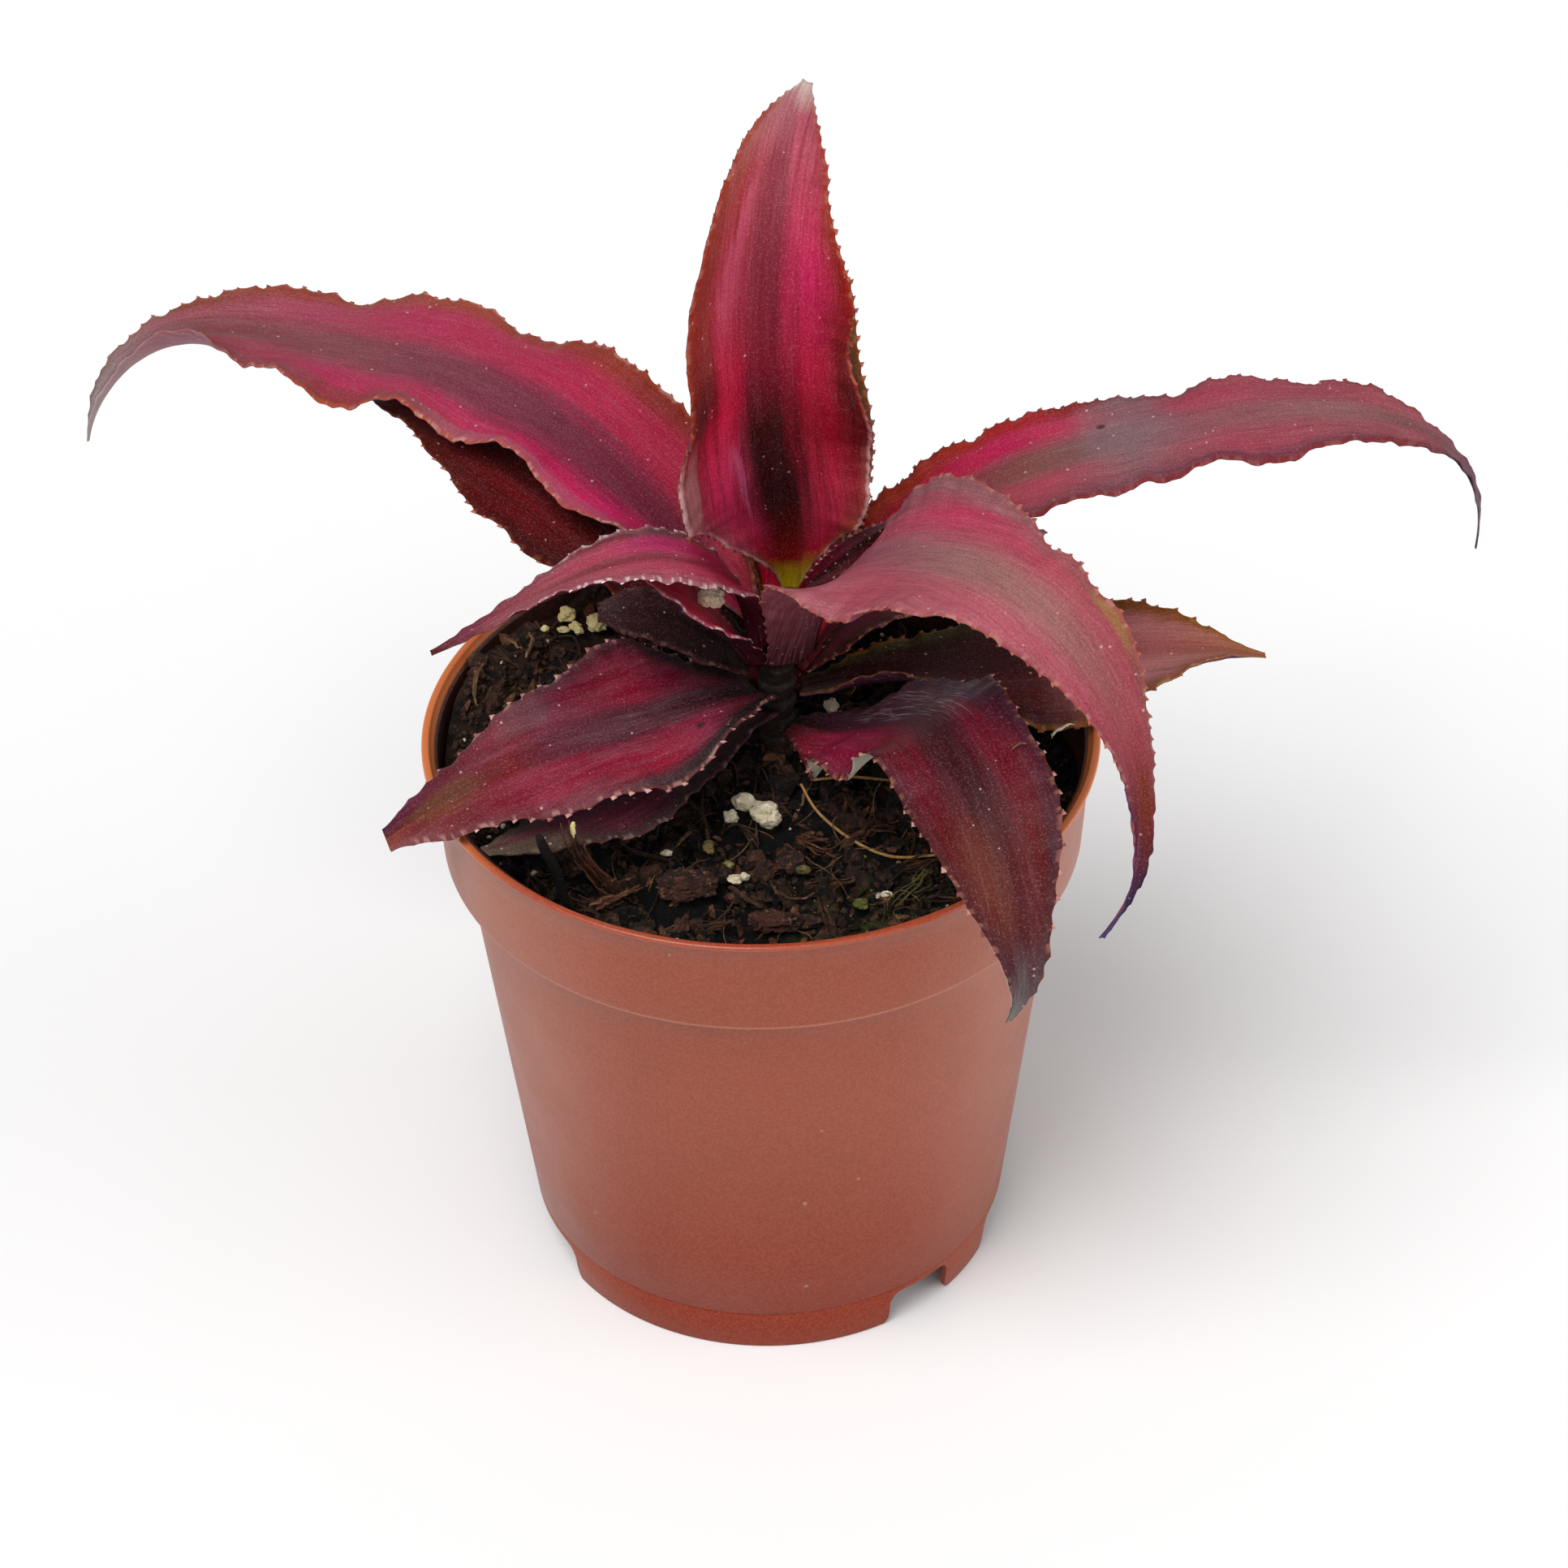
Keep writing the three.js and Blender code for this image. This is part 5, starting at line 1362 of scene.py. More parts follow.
# %% Height of the compost
# where a grain or chip lies on the compost, and its radius
RESTING = [(0.6, -8, 4.4), (-4.2, -7.2, 3), (-22.3, 28.4, 3.6), (-26.4, 29.4, 3.2), (9.6, 15.6, 3),
           (-10.5, -22, 5.5), (1.5, -28.5, 5), (-25, -15, 4.5)]
LONG_ROOT = [(5.2, -1.6, 0.6), (7.4, -6.6, 0.4), (11.8, -11.8, 0.3), (17, -15, 0.3), (23, -16, 0.3)]
ALONG_ROOT = curve_through(LONG_ROOT, 22)


def firm(x, y):
    """1 where a grain or chip rests on the ground, falling to 0 away from it."""
    root_is_near = 0 < x < 26 and -20 < y < 3
    near = min(math.hypot(x - p[0], y - p[1]) for p in ALONG_ROOT) if root_is_near else 9
    under = [1 - min(math.hypot(x - a, y - b) / (r + 2.5), 1) for a, b, r in RESTING]
    return max(under + [0, 0.75 - near / 2.4])


def ground(x, y):
    """The broad height that the plain solid has too, heaped a little against the back left wall."""
    swell = 0.7 * math.sin(0.16 * x + 1) * math.cos(0.13 * y - 0.6)
    lumps = 0.5 * math.sin(0.55 * x + 0.9 * math.sin(0.31 * y)) * math.sin(0.48 * y + 2)
    crumbs = 0.28 * math.sin(1.3 * x + 0.8) * math.sin(1.15 * y + 1.1 * math.sin(0.7 * x))
    mound = 1.2 * math.exp(-((x - STEM_AXIS[0]) ** 2 + (y - STEM_AXIS[1]) ** 2) / 260)
    share = min(max((-0.78 * x + 0.63 * y - 22) / 19, 0), 1)
    share = share * share * (3 - 2 * share)
    heap = 2.2 * share * (1 - min(1.0, 1.6 * firm(x, y)))
    return SOIL_LEVEL + swell + lumps + crumbs + mound + 7 * share + heap


def rough_ground(x, y):
    """The ground with hollows between lumps, crumbs and fine grit, in millimetres."""
    lumps = noise.fractal(Vector((x * 0.3, y * 0.3, 3.0)), 0.9, 2.1, 4)
    pits = max(0.0, noise.noise(Vector((x * 0.36 + 40, y * 0.36, 5.0))) - 0.02)
    grit = noise.noise(Vector((x * 1.7, y * 1.7, 9.0)))
    calm = (1 - min(1.0, 1.6 * firm(x, y))) * min(1.0, max(0.0, (39.5 - math.hypot(x, y)) / 3))
    return ground(x, y) + calm * (0.9 * lumps - 6.5 * pits) + 0.35 * grit


RINGS, SPOKES = 118, 380
soil_edge = collar_inner_radius(SOIL_LEVEL) - CLEARANCE
SOIL_FOOT = 9
round_once = [2 * math.pi * q / SPOKES for q in range(SPOKES)]
soil_points = [(0, 0, rough_ground(0, 0))]
for i in range(1, RINGS + 1):
    radius = soil_edge * i / RINGS
    for x, y in ((radius * math.cos(a), radius * math.sin(a)) for a in round_once):
        soil_points.append((x, y, rough_ground(x, y)))
side_rings = [(COLLAR_FOOT_RADIUS - WALL - CLEARANCE, COLLAR_FOOT + 1.1),
              (body_radius(66) - WALL - CLEARANCE, 66),
              (body_radius(SOIL_FOOT) - WALL - CLEARANCE, SOIL_FOOT), (23, SOIL_FOOT)]
for radius, z in side_rings:
    soil_points += [(radius * math.cos(a), radius * math.sin(a), z) for a in round_once]
soil_points.append((0, 0, SOIL_FOOT))
soil_faces = [(0, 1 + q, 1 + (q + 1) % SPOKES) for q in range(SPOKES)]
for i in range(RINGS + len(side_rings) - 1):
    a, b = 1 + i * SPOKES, 1 + (i + 1) * SPOKES
    soil_faces += [(a + q, b + q, b + (q + 1) % SPOKES, a + (q + 1) % SPOKES) for q in range(SPOKES)]
last_ring, middle = 1 + (RINGS + len(side_rings) - 1) * SPOKES, len(soil_points) - 1
soil_faces += [(middle, last_ring + (q + 1) % SPOKES, last_ring + q) for q in range(SPOKES)]
print("compost surface:", len(soil_points), "points")


# %% [markdown]
# Everything broken or fibrous shares one kind of finish: two tones mottled by noise, a third in
# broader clouds, and grit in the relief. Each lump carries a tone of its own, so that neighbours
# differ; on the compost surface that tone follows height, painted shade in the hollows and painted
# light on the lumps. Algae tint the front right, and the bank at the back left is dry and paler.

# %% Compost finishes
def crumb_paint(name, dark, light, warm, rough, green=0.0, shine=0.3, fleck=None, bank=0.0, depth=0.0004):
    """Dull, broken stuff: mottled, with grit in its relief and a tone for each piece."""
    p = Paint(name)
    # the tone mark: a random tone for each piece; on the compost surface it follows height, painted shade in
    # the hollows and painted light on the lumps
    piece_tone_and_hollow_shade = p.tree.nodes.new("ShaderNodeAttribute")
    piece_tone_and_hollow_shade.attribute_name = "tone"
    tone = p.noise(p.object, 900.0, 5.0, 0.7)
    broad_tone = p.noise(p.object, 120.0, 3.0)
    fine = p.noise(p.object, 3200.0, 3.0, 0.7)
    lighter = p.scaled(piece_tone_and_hollow_shade.outputs["Fac"], 0.6, p.step(tone, 0.45, 0.75, -0.1, 0.8))
    colour = p.mix(p.sum("MINIMUM", p.sum("MAXIMUM", lighter, 0.0), 1.0), srgb(dark), srgb(light))
    colour = p.mix(p.step(broad_tone, 0.52, 0.72, 0.0, 0.6), colour, srgb(warm))
    if green:
        spot = p.parts(p.object)
        near = p.times(p.step(spot["X"], -0.002, 0.012), p.step(spot["Y"], -0.012, -0.024))
        moss = p.times(near, p.step(p.noise(p.object, 240.0, 4.0, 0.7), 0.5, 0.66))
        colour = p.mix(p.times(moss, green), colour, srgb("464c22"))
    if bank:
        spot = p.parts(p.object)
        up_bank = p.scaled(spot["X"], -0.78, p.times(spot["Y"], 0.63))
        dry = p.times(p.step(up_bank, 0.022, 0.036), p.step(p.noise(p.object, 420.0, 4.0, 0.7), 0.35, 0.62))
        colour = p.mix(p.times(dry, bank), colour, srgb("64402e"))
    if fleck:
        flecks = p.times(p.step(p.noise(p.object, 1500.0, 5.0, 0.8), 0.55, 0.66),
                         p.step(p.noise(p.object, 330.0), 0.4, 0.6))
        colour = p.mix(p.times(flecks, 0.85), colour, srgb(fleck))
    relief = p.plus(p.times(tone, 0.8), fine)
    return p.finish(colour, p.step(fine, 0.3, 0.8, rough - 0.3, rough), relief, depth, specular=shine)


soil_paint = crumb_paint("compost", "040303", "1a110c", "130c09", 0.75,
                         green=0.7, shine=0.22, bank=0.28, depth=0.0007)
crumb_dark = crumb_paint("peat_crumb", "0a0605", "62402d", "241610", 0.75,
                         green=0.7, bank=0.5, depth=0.0007)
bark_paint = crumb_paint("bark", "28160f", "80543a", "60321e", 0.8, shine=0.2)
root_paint = crumb_paint("root_hair", "3a281a", "96724a", "6c4a2c", 0.75)
perlite_paint = crumb_paint("perlite", "d6c8a8", "fffaec", "eedcb2", 0.85)
cream_paint = crumb_paint("perlite_stained", "e8d492", "fffadc", "f8e294", 0.85)
# a brighter copy of the perlite with a warmer cream tint: painted light for grains that lie in the leaves'
# shade
warm_lit_perlite_paint = crumb_paint("perlite_warm", "f0d8b8", "fff6e4", "fce4c2", 0.85)
algae_paint = crumb_paint("algae", "545620", "96924a", "786c34", 0.7)
olive_paint = crumb_paint("olive_crumb", "5c522c", "b0a268", "8c7642", 0.8)
soil = mesh_object("compost_surface", soil_points, soil_faces, [soil_paint])
# tone by height: darker in the hollows and paler on the lumps, painted shade and painted light
write_marks(soil, "tone", [min(1.0, max(-1.0, (z - ground(x, y)) / 1.2)) for x, y, z in soil_points])
smooth(soil)
show(soil, "compost", "soil")


# %% [markdown]
# The tree spreads points over the bed, more where its `grow` mark is high, and sets a lump on
# each: a ball stretched by Long and Flat and turned at random. Placing them by hand would take
# thousands of steps; here a few numbers change a whole layer, and a fixed seed keeps it the same.

# %% The scatter tree
def make_scatter_tree():
    tree, wire, given, result = geometry_tree("scatter_on_compost", [
        ("Density", "NodeSocketFloat", 1000.0), ("Smallest", "NodeSocketFloat", 0.4 * MM),
        ("Largest", "NodeSocketFloat", 1.2 * MM), ("Long", "NodeSocketFloat", 1.0),
        ("Flat", "NodeSocketFloat", 0.8), ("Detail", "NodeSocketInt", 1),
        ("Seed", "NodeSocketInt", 1), ("Material", "NodeSocketMaterial", None)])
    add, times = wire.add, wire.times
    spread = add("GeometryNodeDistributePointsOnFaces", Mesh=given.outputs["Geometry"],
                 Density=times(read_mark(wire, "grow"), given.outputs["Density"]), Seed=given.outputs["Seed"])
    lump = add("GeometryNodeMeshIcoSphere", Radius=0.5, Subdivisions=given.outputs["Detail"])
    size = random_value(wire, given, given.outputs["Smallest"], given.outputs["Largest"], 3)
    shape = add("ShaderNodeCombineXYZ", X=times(size, given.outputs["Long"]),
                Y=times(size, random_value(wire, given, 0.6, 1.1, 5)), Z=times(size, given.outputs["Flat"]))
    turn_by = random_value(wire, given, (-0.8, -0.8, 0.0), (0.8, 0.8, 6.28), 9, "FLOAT_VECTOR")
    turned = add("FunctionNodeEulerToRotation", Euler=turn_by)
    place_all = add("GeometryNodeInstanceOnPoints", Points=spread.outputs["Points"],
                    Instance=lump.outputs["Mesh"], Rotation=turned.outputs[0], Scale=shape.outputs[0])
    toned = tree.nodes.new("GeometryNodeStoreNamedAttribute")
    toned.data_type = "FLOAT"
    toned.domain = "INSTANCE"
    toned.inputs["Name"].default_value = "tone"
    wire.feed(toned.inputs["Geometry"], place_all.outputs[0])
    wire.feed(toned.inputs["Value"], wire.sum("POWER", random_value(wire, given, 0.0, 1.0, 13), 2.2))
    return end_tree(wire, given, result, toned.outputs[0])


scatter_tree = make_scatter_tree()


def scatter(name, paint, slot, grow, shake, density, smallest, largest, long, flat, detail, seed):
    """Scatters one kind of lump over the compost, where grow(x, y) is above nought."""
    reach = 1 + RINGS * SPOKES
    bed = mesh_object(name, soil_points[:reach], [f for f in soil_faces if max(f) < reach])
    write_marks(bed, "grow", [float(grow(x, y)) for x, y, _ in soil_points[:reach]])
    run_tree(bed, scatter_tree, Density=density * PER_SQUARE_MM, Smallest=smallest * MM, Largest=largest * MM,
             Long=long, Flat=flat, Detail=detail, Seed=seed, Material=paint)
    roughen(bed, shake)
    return show(bed, slot)


ROUGH_SEED = 7


def roughen(piece, shake):
    """Pushes each corner about, so that no two lumps are alike."""
    noise.seed_set(ROUGH_SEED)
    coarse, fine = 900, 2600
    for v in piece.data.vertices:
        way = noise.noise_vector(v.co * coarse) + noise.noise_vector(v.co * fine) * 0.5
        v.co += way * shake * MM


def inside(x, y):
    return 1.0 if math.hypot(x, y) < soil_edge - 0.8 else 0.0


def open_ground(x, y):
    return inside(x, y) * (0.0 if firm(x, y) > 0.3 else 1.0)


def away_from_wall(x, y):
    return open_ground(x, y) * (1.0 if math.hypot(x, y) < 38 else 0.0)


def front_right(x, y):
    return inside(x, y) * (1.0 if x > 2 and y < -14 else 0.04)


PER_SQUARE_MM = 1e6
# how many per square millimetre, smallest and largest, long, flat, detail and seed come last
for layer in (
        ("peat_crumbs", crumb_dark, "compost", open_ground, 0.3, 1.22, 0.3, 1.3, 1.2, 0.8, 1, 3),
        ("peat_lumps", crumb_dark, "compost", away_from_wall, 1.1, 0.06, 1.4, 3.6, 1.3, 0.7, 2, 5),
        ("bark_slivers", bark_paint, "bark", inside, 0.25, 0.07, 0.6, 1.6, 2.4, 0.45, 2, 11),
        ("perlite_dust", perlite_paint, "perlite", inside, 0.16, 0.012, 0.3, 0.9, 1.0, 0.9, 2, 21),
        ("pale_flecks", olive_paint, "perlite", front_right, 0.16, 0.09, 0.2, 0.6, 1.2, 0.7, 1, 27),
        ("algae_grains", algae_paint, "compost", front_right, 0.16, 0.04, 0.3, 1.0, 1.0, 0.7, 2, 31)):
    scatter(*layer)

# %% [markdown]
# ## Roots, fibres and strips of bark
# Roots and shreds of bark lie over the compost in loose arcs. Each is a line that wanders over
# the ground, and a small tree gives all of them a section, round for roots and flat for shreds,
# that tapers to both ends. The two long tan threads have solids of their own, so they keep those
# routes.


# %% The thread tree
def make_thread_tree():
    tree, wire, given, result = geometry_tree("tapered_threads", [
        ("Thickness", "NodeSocketFloat", 0.3 * MM), ("Flat", "NodeSocketFloat", 1.0),
        ("Sides", "NodeSocketInt", 6), ("Material", "NodeSocketMaterial", None)])
    add = wire.add
    line = add("GeometryNodeMeshToCurve", Mesh=given.outputs["Geometry"])
    wide = read_mark(wire, "wide")
    sized = add("GeometryNodeSetCurveRadius", Curve=line.outputs[0], Radius=wide)
    ring = add("GeometryNodeCurvePrimitiveCircle", Resolution=given.outputs["Sides"],
               Radius=wire.times(given.outputs["Thickness"], 0.5))
    squash = add("ShaderNodeCombineXYZ", X=1.0, Y=given.outputs["Flat"], Z=1.0)
    section = add("GeometryNodeTransform", Geometry=ring.outputs["Curve"], Scale=squash.outputs[0])
    body = add("GeometryNodeCurveToMesh", Curve=sized.outputs[0], Profile_Curve=section.outputs[0],
               Scale=wide, Fill_Caps=True)
    return end_tree(wire, given, result, body.outputs[0])


thread_tree = make_thread_tree()
thread_random = np.random.default_rng(4)


def threads(name, routes, thickness, sides, paint, flat=1.0, taper=0.5, slot="root_fibre", nodes=()):
    """Threads along routes of points in millimetres, thinner towards both ends, as one piece."""
    mesh = bpy.data.meshes.new(name)
    points, edges, widths, tones = [], [], [], []
    for route in routes:
        first, tone = len(points), thread_random.uniform(0, 1)
        points += [tuple(np.array(p) * MM) for p in route]
        edges += [(first + i, first + i + 1) for i in range(len(route) - 1)]
        share = np.linspace(0, 1, len(route))
        widths += list(1 - taper + taper * np.sin(np.pi * share) ** 0.6)
        tones += [tone] * len(route)
    mesh.from_pydata(points, edges, [])
    piece = piece_of(name, mesh)
    write_marks(piece, "wide", widths)
    write_marks(piece, "tone", tones)
    run_tree(piece, thread_tree, Thickness=thickness * MM, Flat=flat, Sides=sides, Material=paint)
    face_out(piece)
    smooth(piece, 60)
    return show(piece, slot, *nodes)


def over_ground(route, lift=0.0):
    """A route whose third number is a height over the compost."""
    return [(x, y, ground(x, y) + lift + extra) for x, y, extra in route]


thread_paint = crumb_paint("tan_thread", "966c3c", "c4965c", "ac7e48", 0.6)
curved = over_ground(LONG_ROOT, 0.6)
straight = over_ground([(6.8, -0.2, 0.4), (11.5, 0.4, 0.6), (17, 1, 0.4)], 0.6)
for name, node, line in (("long_root", "root_fibre_curved", curve_through(curved, 60)),
                         ("short_root", "root_fibre_straight", curve_through(straight, 30))):
    threads(name, [line], 0.42, 8, thread_paint, taper=0.2, nodes=[node])

# %% [markdown]
# The other roots go where chance takes them. A wandering root starts anywhere, bends a little more
# at each step and starts again if it would reach the wall. A shred of bark is a bundle of fibres
# side by side. Both follow the ground, so that they lie on it and don't float.

# %% Roots and shreds
root_random = np.random.default_rng(17)
STEP = 0.7


def wandering_root(length, reach, lift, arch):
    """A line that starts anywhere on the compost and bends gently as it goes."""
    angle = root_random.uniform(0, 2 * math.pi)
    radius = reach * math.sqrt(root_random.uniform(0, 1))
    x, y = radius * math.cos(angle), radius * math.sin(angle)
    heading, bend = root_random.uniform(0, 2 * math.pi), root_random.normal(0, 0.12)
    steps = max(7, int(length / STEP))
    hump, tilt = root_random.uniform(0.0, arch), root_random.uniform(-arch, arch)
    route = []
    for i in range(steps):
        share = i / (steps - 1)
        rise = hump * math.sin(math.pi * share) + max(tilt * (share - 0.3), 0)
        route.append((x, y, ground(x, y) - 0.6 + lift + rise))
        bend += root_random.normal(0, 0.05)
        heading += bend
        nx, ny = x + STEP * math.cos(heading), y + STEP * math.sin(heading)
        if math.hypot(nx, ny) > soil_edge - 1.2:
            return route if len(route) > 3 else wandering_root(length, reach, lift, arch)
        x, y = nx, ny
    return route


def bundle(x, y, length, heading, rise, count, spread):
    """Fibres that lie side by side, as in a torn shred of bark."""
    fibres = []
    for _ in range(count):
        part = length * root_random.uniform(0.55, 1.0)
        turn_to = heading + root_random.normal(0, 0.12)
        bow, off = root_random.normal(0, 0.05), root_random.normal(0, spread, 2)
        lift, px, py = 0.3 + abs(root_random.normal(0, 0.5)), x + off[0], y + off[1]
        route = []
        for i in range(9):
            share = i / 8
            route.append((px, py, ground(px, py) - 0.4 + lift + rise * share))
            turn_to += bow
            px, py = px + part / 8 * math.cos(turn_to), py + part / 8 * math.sin(turn_to)
            if math.hypot(px, py) > soil_edge - 1.0:
                break
        if len(route) > 3:
            fibres.append(route)
    return fibres


def bundles(number, low, high, count):
    """Bundles of low to high millimetres anywhere on the compost."""
    made = []
    for _ in range(number):
        a, r = root_random.uniform(0, 2 * math.pi), 37 * math.sqrt(root_random.uniform(0, 1))
        made += bundle(r * math.cos(a), r * math.sin(a), root_random.uniform(low, high),
                       root_random.uniform(0, 2 * math.pi), root_random.uniform(0, 2.5), count, 0.5)
    return made


dark_roots = [wandering_root(root_random.uniform(4, 12), 39, 0.3, 1.4) for _ in range(150)]
pale_roots = [wandering_root(root_random.uniform(4, 12), 39, 0.7, 1.6) for _ in range(70)]
dark_root_paint = crumb_paint("dark_root", "1a100c", "604230", "3e261a", 0.7, shine=0.2)
threads("dark_roots", dark_roots, 0.25, 5, dark_root_paint)
threads("fine_pale_roots", pale_roots, 0.15, 5, root_paint)
threads("bark_fibres", bundles(16, 4, 9, 8), 0.32, 5, bark_paint, 0.7, 0.7, "bark")
threads("dark_fibres", bundles(34, 3, 8, 6), 0.42, 5, dark_root_paint, 0.6, 0.8, "bark")

# %% [markdown]
# ## Things that lie in known places
# Some shreds and roots are large enough to be looked for: a long torn shred that leans over a
# leaf's edge and ends in a white splinter, a black stick beside it, a curled tan root, the fibres
# along the back wall. Their routes are written out, as x, y and height over the compost.

# %% Placed shreds and roots
SHRED = [(-17.8, -22.9, 73.7), (-19.5, -23.4, 75.5), (-21, -24, 77.6), (-22.2, -24.4, 79.9),
         (-23.4, -24.9, 82.3), (-24.1, -25.1, 85.4), (-24.1, -25.2, 87.6)]
STICK = [(-25.5, -25, 73.5), (-26, -25.6, 77), (-26.8, -26.6, 81.5), (-27.8, -27.8, 85.4),
         (-28.3, -28.8, 88.4)]
STEM_FIBRE = [(16.4, 20.0, 82.0), (14.5, 18.1, 80.0), (11.8, 13.9, 77.0)]
LEAF_HAIR = [(31.5, -30.1, 102.1), (32.1, -29.6, 102.3), (32.6, -29.2, 102.4), (33.0, -29.3, 102.5),
             (33.4, -29.5, 102.5)]
MARGIN_HAIR = [(41.8, -3.0, 84.8), (40.7, -3.0, 84.9), (39.7, -3.3, 84.6), (38.9, -3.6, 84.3),
               (38.4, -3.8, 83.6), (38.3, -3.8, 82.4)]
# these give heights over the compost
TAN = [[(0.7, -17.7, 0.8), (1.2, -19.5, 1), (2.0, -21.2, 1.1), (3.9, -22.8, 1.2), (6.1, -22.2, 1.2),
        (8.4, -21.2, 0.8)],
       [(-9.0, -7.7, 0.8), (-10.1, -11.4, 1.6), (-11.4, -15.1, 2.4)],
       [(-7.2, -8.3, 1), (-7.0, -13.8, 1)],
       [(6.2, -2.2, 0.9), (5.6, -3.2, 0.9), (5.3, -4.6, 0.8), (4.5, -5.0, 0.6)],
       [(-31.5, 24.1, 0.8), (-31.2, 21.9, 0.9), (-32.3, 19.0, 0.7)], [(-34.4, 22.7, 0.9), (-32.4, 20.9, 0.9)],
       [(-35.8, 13.9, 0.8), (-36.6, 12.1, 1), (-35.8, 11.6, 1), (-35.0, 12.1, 0.8)],
       [(-37.4, 16.4, 1), (-38.2, 14, 1.2), (-38.6, 11, 1), (-38.3, 8.5, 1)]]
DARK = [[(-18.7, -12.8, 1.2), (-16.5, -14.3, 1.2), (-13.2, -15.9, 1.1), (-11.1, -17.0, 0.8)],
        [(-4.3, -21.2, 1), (-2.2, -23.2, 1.1), (0.3, -24.5, 0.8)],
        [(-1.8, -23.1, 0.9), (-0.1, -23.2, 1), (1.7, -22.9, 0.8)],
        [(11.1, -2.7, 2), (12.0, -5.2, 1.4), (12.8, -7.7, 1)],
        [(14, -9, 1), (11, -12.5, 1.2), (7.4, -13.4, 1)]]
MOSSY = [[(21.1, -21.1, 1.2), (19.0, -23.2, 1.2), (17.0, -25.8, 0.8)],
         [(21.8, -21.2, 1.1), (19.8, -23.1, 1.2), (18.1, -23.7, 0.9)],
         [(20.1, -22.1, 0.9), (21.2, -20.4, 1.4), (22.3, -18.8, 1.2)]]


def frayed(route, count, spread, steps=14):
    """Many fibres along one route, each a little beside it and of its own length."""
    made = []
    for _ in range(count):
        line = curve_through(route, steps)
        start, stop = root_random.integers(0, 4), root_random.integers(steps - 5, steps + 1)
        aside, uneven = root_random.normal(0, spread, 3), root_random.normal(0, 0.08, (stop - start, 3))
        made.append(line[start:stop] + aside + uneven)
    return made


def frayed_all(routes, count, spread, steps):
    """The same for several routes over the compost."""
    return [line for route in routes for line in frayed(over_ground(route), count, spread, steps)]


beside_shred = [(x + 1.5, y - 0.6, 74.2 + 0.35 * i) for i, (x, y, _) in enumerate(reversed(SHRED[:5]))]
shred_lines = frayed(SHRED, 22, 0.45) + frayed(beside_shred, 12, 0.8)
threads("leaning_shred", shred_lines, 0.5, 5, bark_paint, 0.6, 0.6, "bark")
threads("black_stick", [curve_through(STICK, 20)], 1.7, 9, soil_paint, 0.8, 0.4, "bark")
tan_lines = frayed_all(TAN, 2, 0.12, 12) + frayed(STEM_FIBRE, 3, 0.25, 12)
threads("tan_roots", tan_lines, 0.42, 6, root_paint, 0.9, 0.4)
threads("dark_sticks", frayed_all(DARK, 3, 0.18, 12), 0.75, 6, dark_root_paint, 0.8, 0.5)
threads("leaf_hair", [curve_through(LEAF_HAIR, 12)], 0.3, 6, root_paint, 0.8, 0.7)
threads("margin_hair", frayed(MARGIN_HAIR, 3, 0.08), 0.34, 6, perlite_paint, 0.8, 0.8)
moss_paint = crumb_paint("moss_fibre", "302c14", "7e763e", "584a28", 0.8)
threads("mossy_fibres", frayed_all(MOSSY, 5, 0.5, 10), 0.26, 5, moss_paint, 0.8, 0.6)
print(len(shred_lines), "fibres in the leaning shred")

# %% [markdown]
# ## Grains and chips
# The larger grains have solids of their own. Each is rebuilt as a finer lump of the same place
# and size: a sphere pushed in and out by noise, which leaves the broken, bubbly faces of expanded
# perlite, or the layered ones of bark.


# %% Grain builder
def balls(name, count, detail, shape, paint, slot, *nodes):
    """Balls as one piece: shape(number, way) says where the corner that lies that way goes, in metres."""
    work = bmesh.new()
    for number in range(count):
        for v in bmesh.ops.create_icosphere(work, subdivisions=detail, radius=1.0)["verts"]:
            v.co = shape(number, v.co.normalized())
    mesh = bpy.data.meshes.new(name)
    work.to_mesh(mesh)
    work.free()
    piece = piece_of(name, mesh, [paint])
    smooth(piece, 50)
    return show(piece, slot, *nodes)


def grain(name, node, paint, slot, detail, ridge, seed):
    """A grain or chip that fills the box of its plain solid."""
    low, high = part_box(node)
    middle, size = (low + high) / 2, (high - low) / 2

    def shape(_, way):
        push = 0.86 + 0.3 * noise.noise(way * 1.3 + Vector((seed, 0, 0)))
        push += 0.2 * noise.noise(way * 3.1 + Vector((0, seed, 0))) + 0.09 * noise.noise(way * 8)
        push += ridge * (0.07 * math.sin(way.z * 16 + 6 * noise.noise(way * 2)) + 0.1 * noise.noise(way * 5))
        return Vector([max(-1.0, min(1.0, way[q] * push)) * size[q] for q in range(3)]) + middle

    balls(name, 1, detail, shape, paint, slot, node)


for number, node in enumerate(["perlite_large", "perlite_beside", "perlite_left", "perlite_left_edge",
                               "perlite_right", "perlite_cupped"]):
    # the cupped grain and the one on the right take the brighter copy: painted light
    warm = "cupped" in node or "right" in node
    tone = cream_paint if "left" in node else warm_lit_perlite_paint if warm else perlite_paint
    grain(node + "_grain", node, tone, "perlite", 4, 0.0, number * 3.1)
chip_paint = crumb_paint("bark_chip", "22120c", "784832", "542a1c", 0.85, fleck="aa7454")
for number, node in enumerate(["bark_chip_front", "bark_chip_right", "bark_chip_left"]):
    grain(node + "_rough", node, chip_paint, "bark", 5, 1.0, number * 5.7 + 1)

# %% [markdown]
# Smaller crumbs that catch the eye are balls pushed about in the same way, several to a piece:
# pale ones of perlite, cream ones stained by peat, olive and green ones with algae, brown lumps.

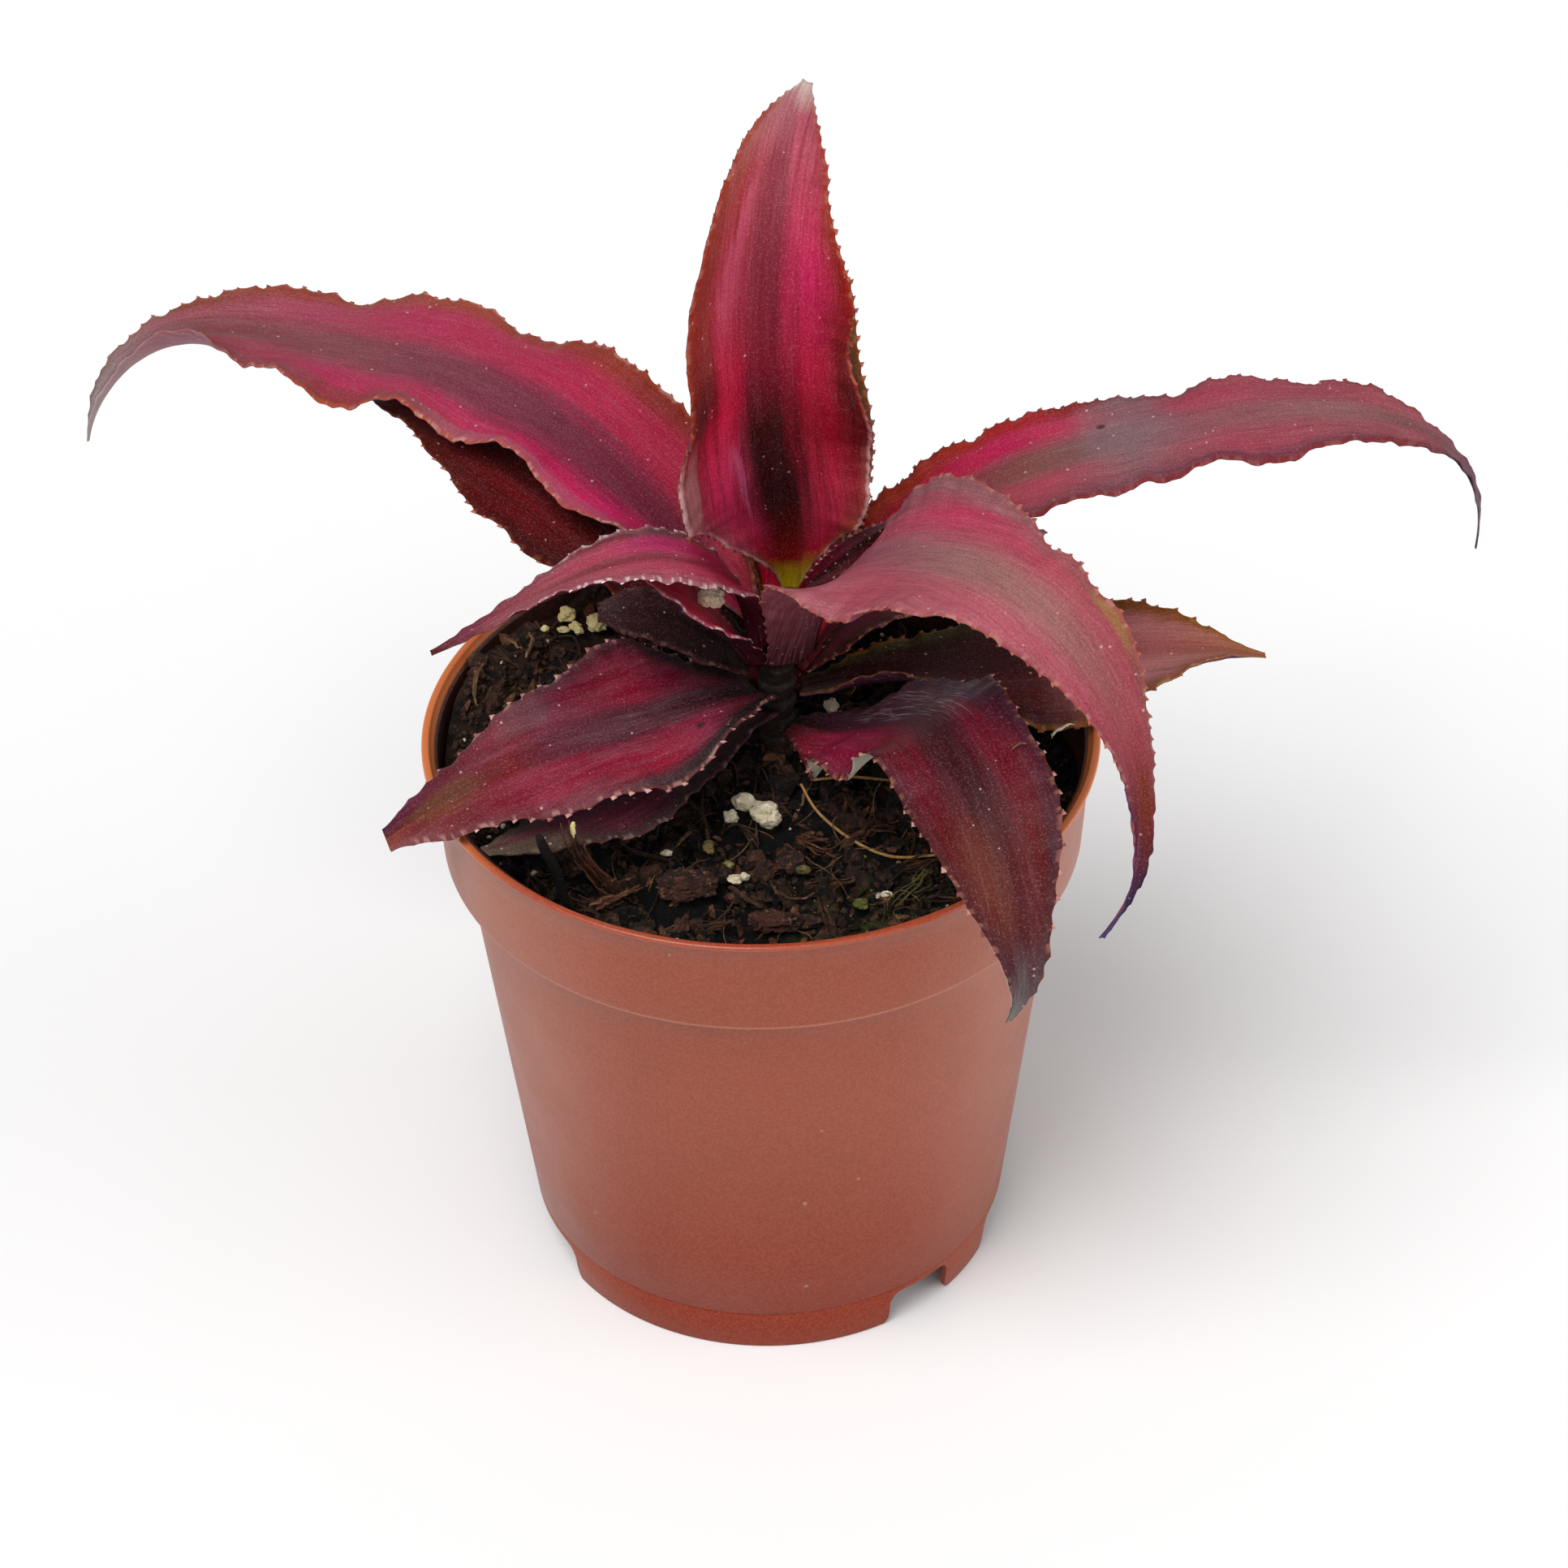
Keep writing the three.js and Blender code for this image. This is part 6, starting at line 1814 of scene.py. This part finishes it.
# %% Placed crumbs
# x, y, height over the compost, then half sizes
PALE_CRUMBS = [(-3.6, -19.5, 0.7, 1.1, 0.8, 0.6), (-2.5, -18.5, 0.8, 0.8, 0.6, 0.6),
               (-2.4, -5.2, 1.6, 1.5, 1.4, 1.4), (-12.6, -14.3, 0.9, 0.8, 0.5, 0.5),
               (16.0, -22.7, 0.8, 0.9, 0.5, 0.5), (15.1, -22.4, 0.7, 0.5, 0.4, 0.4),
               (-30.1, -16.9, 0.7, 0.5, 0.4, 0.4)]
CREAM_CRUMBS = [(-26.4, 29.6, 1.8, 0.8, 0.7, 0.7), (-25.4, 27.9, 1.4, 0.9, 0.7, 0.7),
                (-27.0, 27.3, 1.2, 0.8, 0.6, 0.5), (-29.4, 26.1, 0.9, 0.6, 0.6, 0.5),
                (-24.9, 26.9, 1.2, 0.7, 0.6, 0.6)]
OLIVE_CRUMBS = [(-7.0, -13.2, 1.0, 0.9, 1.2, 0.8), (-4.6, -16.0, 0.8, 0.9, 0.8, 0.6),
                (5.3, -17.4, 1.6, 0.9, 0.7, 0.7)]
GREEN_CRUMBS = [(12.8, -24.7, 0.8, 1.2, 0.9, 0.7)]
BROWN_LUMPS = [(4.0, -15.6, 1.0, 2.4, 2.0, 1.5), (5.6, -27.8, 0.8, 2.6, 1.2, 0.9),
               (-3.8, -22.4, 0.6, 1.2, 1.0, 0.8), (-38.2, 17.4, 0.6, 1.5, 1.6, 1.2),
               (-38.4, 14.6, 0.4, 1.3, 1.5, 1.0)]
SPLINTER = [(-24.1, -25.2, 86.6 - ground(-24.1, -25.2), 0.4, 0.3, 1.3)]


def crumb_heap(name, places, paint, slot):
    """Lumps of given places and sizes, as one piece."""
    def shape(number, way):
        x, y, lift, *size = places[number]
        push = 0.9 + 0.45 * noise.noise(way * 1.5 + Vector((number * 3.7, 0, 0)))
        push += 0.12 * noise.noise(way * 5)
        corner = Vector([way[q] * push * size[q] for q in range(3)])
        return (corner + Vector((x, y, ground(x, y) + lift))) * MM

    balls(name, len(places), 3, shape, paint, slot)


crumb_heap("pale_crumbs", PALE_CRUMBS, perlite_paint, "perlite")
crumb_heap("cream_crumbs", CREAM_CRUMBS, cream_paint, "perlite")
crumb_heap("olive_crumbs", OLIVE_CRUMBS, olive_paint, "compost")
crumb_heap("green_crumbs", GREEN_CRUMBS, algae_paint, "compost")
crumb_heap("brown_lumps", BROWN_LUMPS, chip_paint, "bark")
crumb_heap("white_splinter", SPLINTER, cream_paint, "bark")

# %% [markdown]
# ## Stem
# Little shows of the short stem between the lowest leaves: brown-black remains of old sheaths.
# The turning tree gives its stepped outline, and noise roughens it.

# %% Stem
STEM_FOOT, STEM_TOP, SHEATH_PITCH = 60, 97, 2.9
stem_section = [(0, STEM_FOOT), (2.1, STEM_FOOT)]
for q in range(12):
    z = STEM_FOOT + 1.5 + SHEATH_PITCH * q
    stem_section += [(2.05, z), (2.35, z + 1.2), (2.6, z + 2.5), (2.45, z + 2.7)]
stem_section += [(1.3, STEM_TOP), (0, STEM_TOP)]
stem_paint = crumb_paint("old_sheath", "221814", "563e2e", "3e2c22", 0.8)
stem = turned_piece("stem_rough", stem_section, 48, stem_paint)
for v in stem.data.vertices:
    push = 1 + 0.1 * noise.noise(v.co * 900) if v.co.xy.length > 1e-6 else 1.0
    v.co = Vector((v.co.x * push + STEM_AXIS[0] * MM, v.co.y * push + STEM_AXIS[1] * MM, v.co.z))
smooth(stem, 45)
show(stem, "stem", "stem")
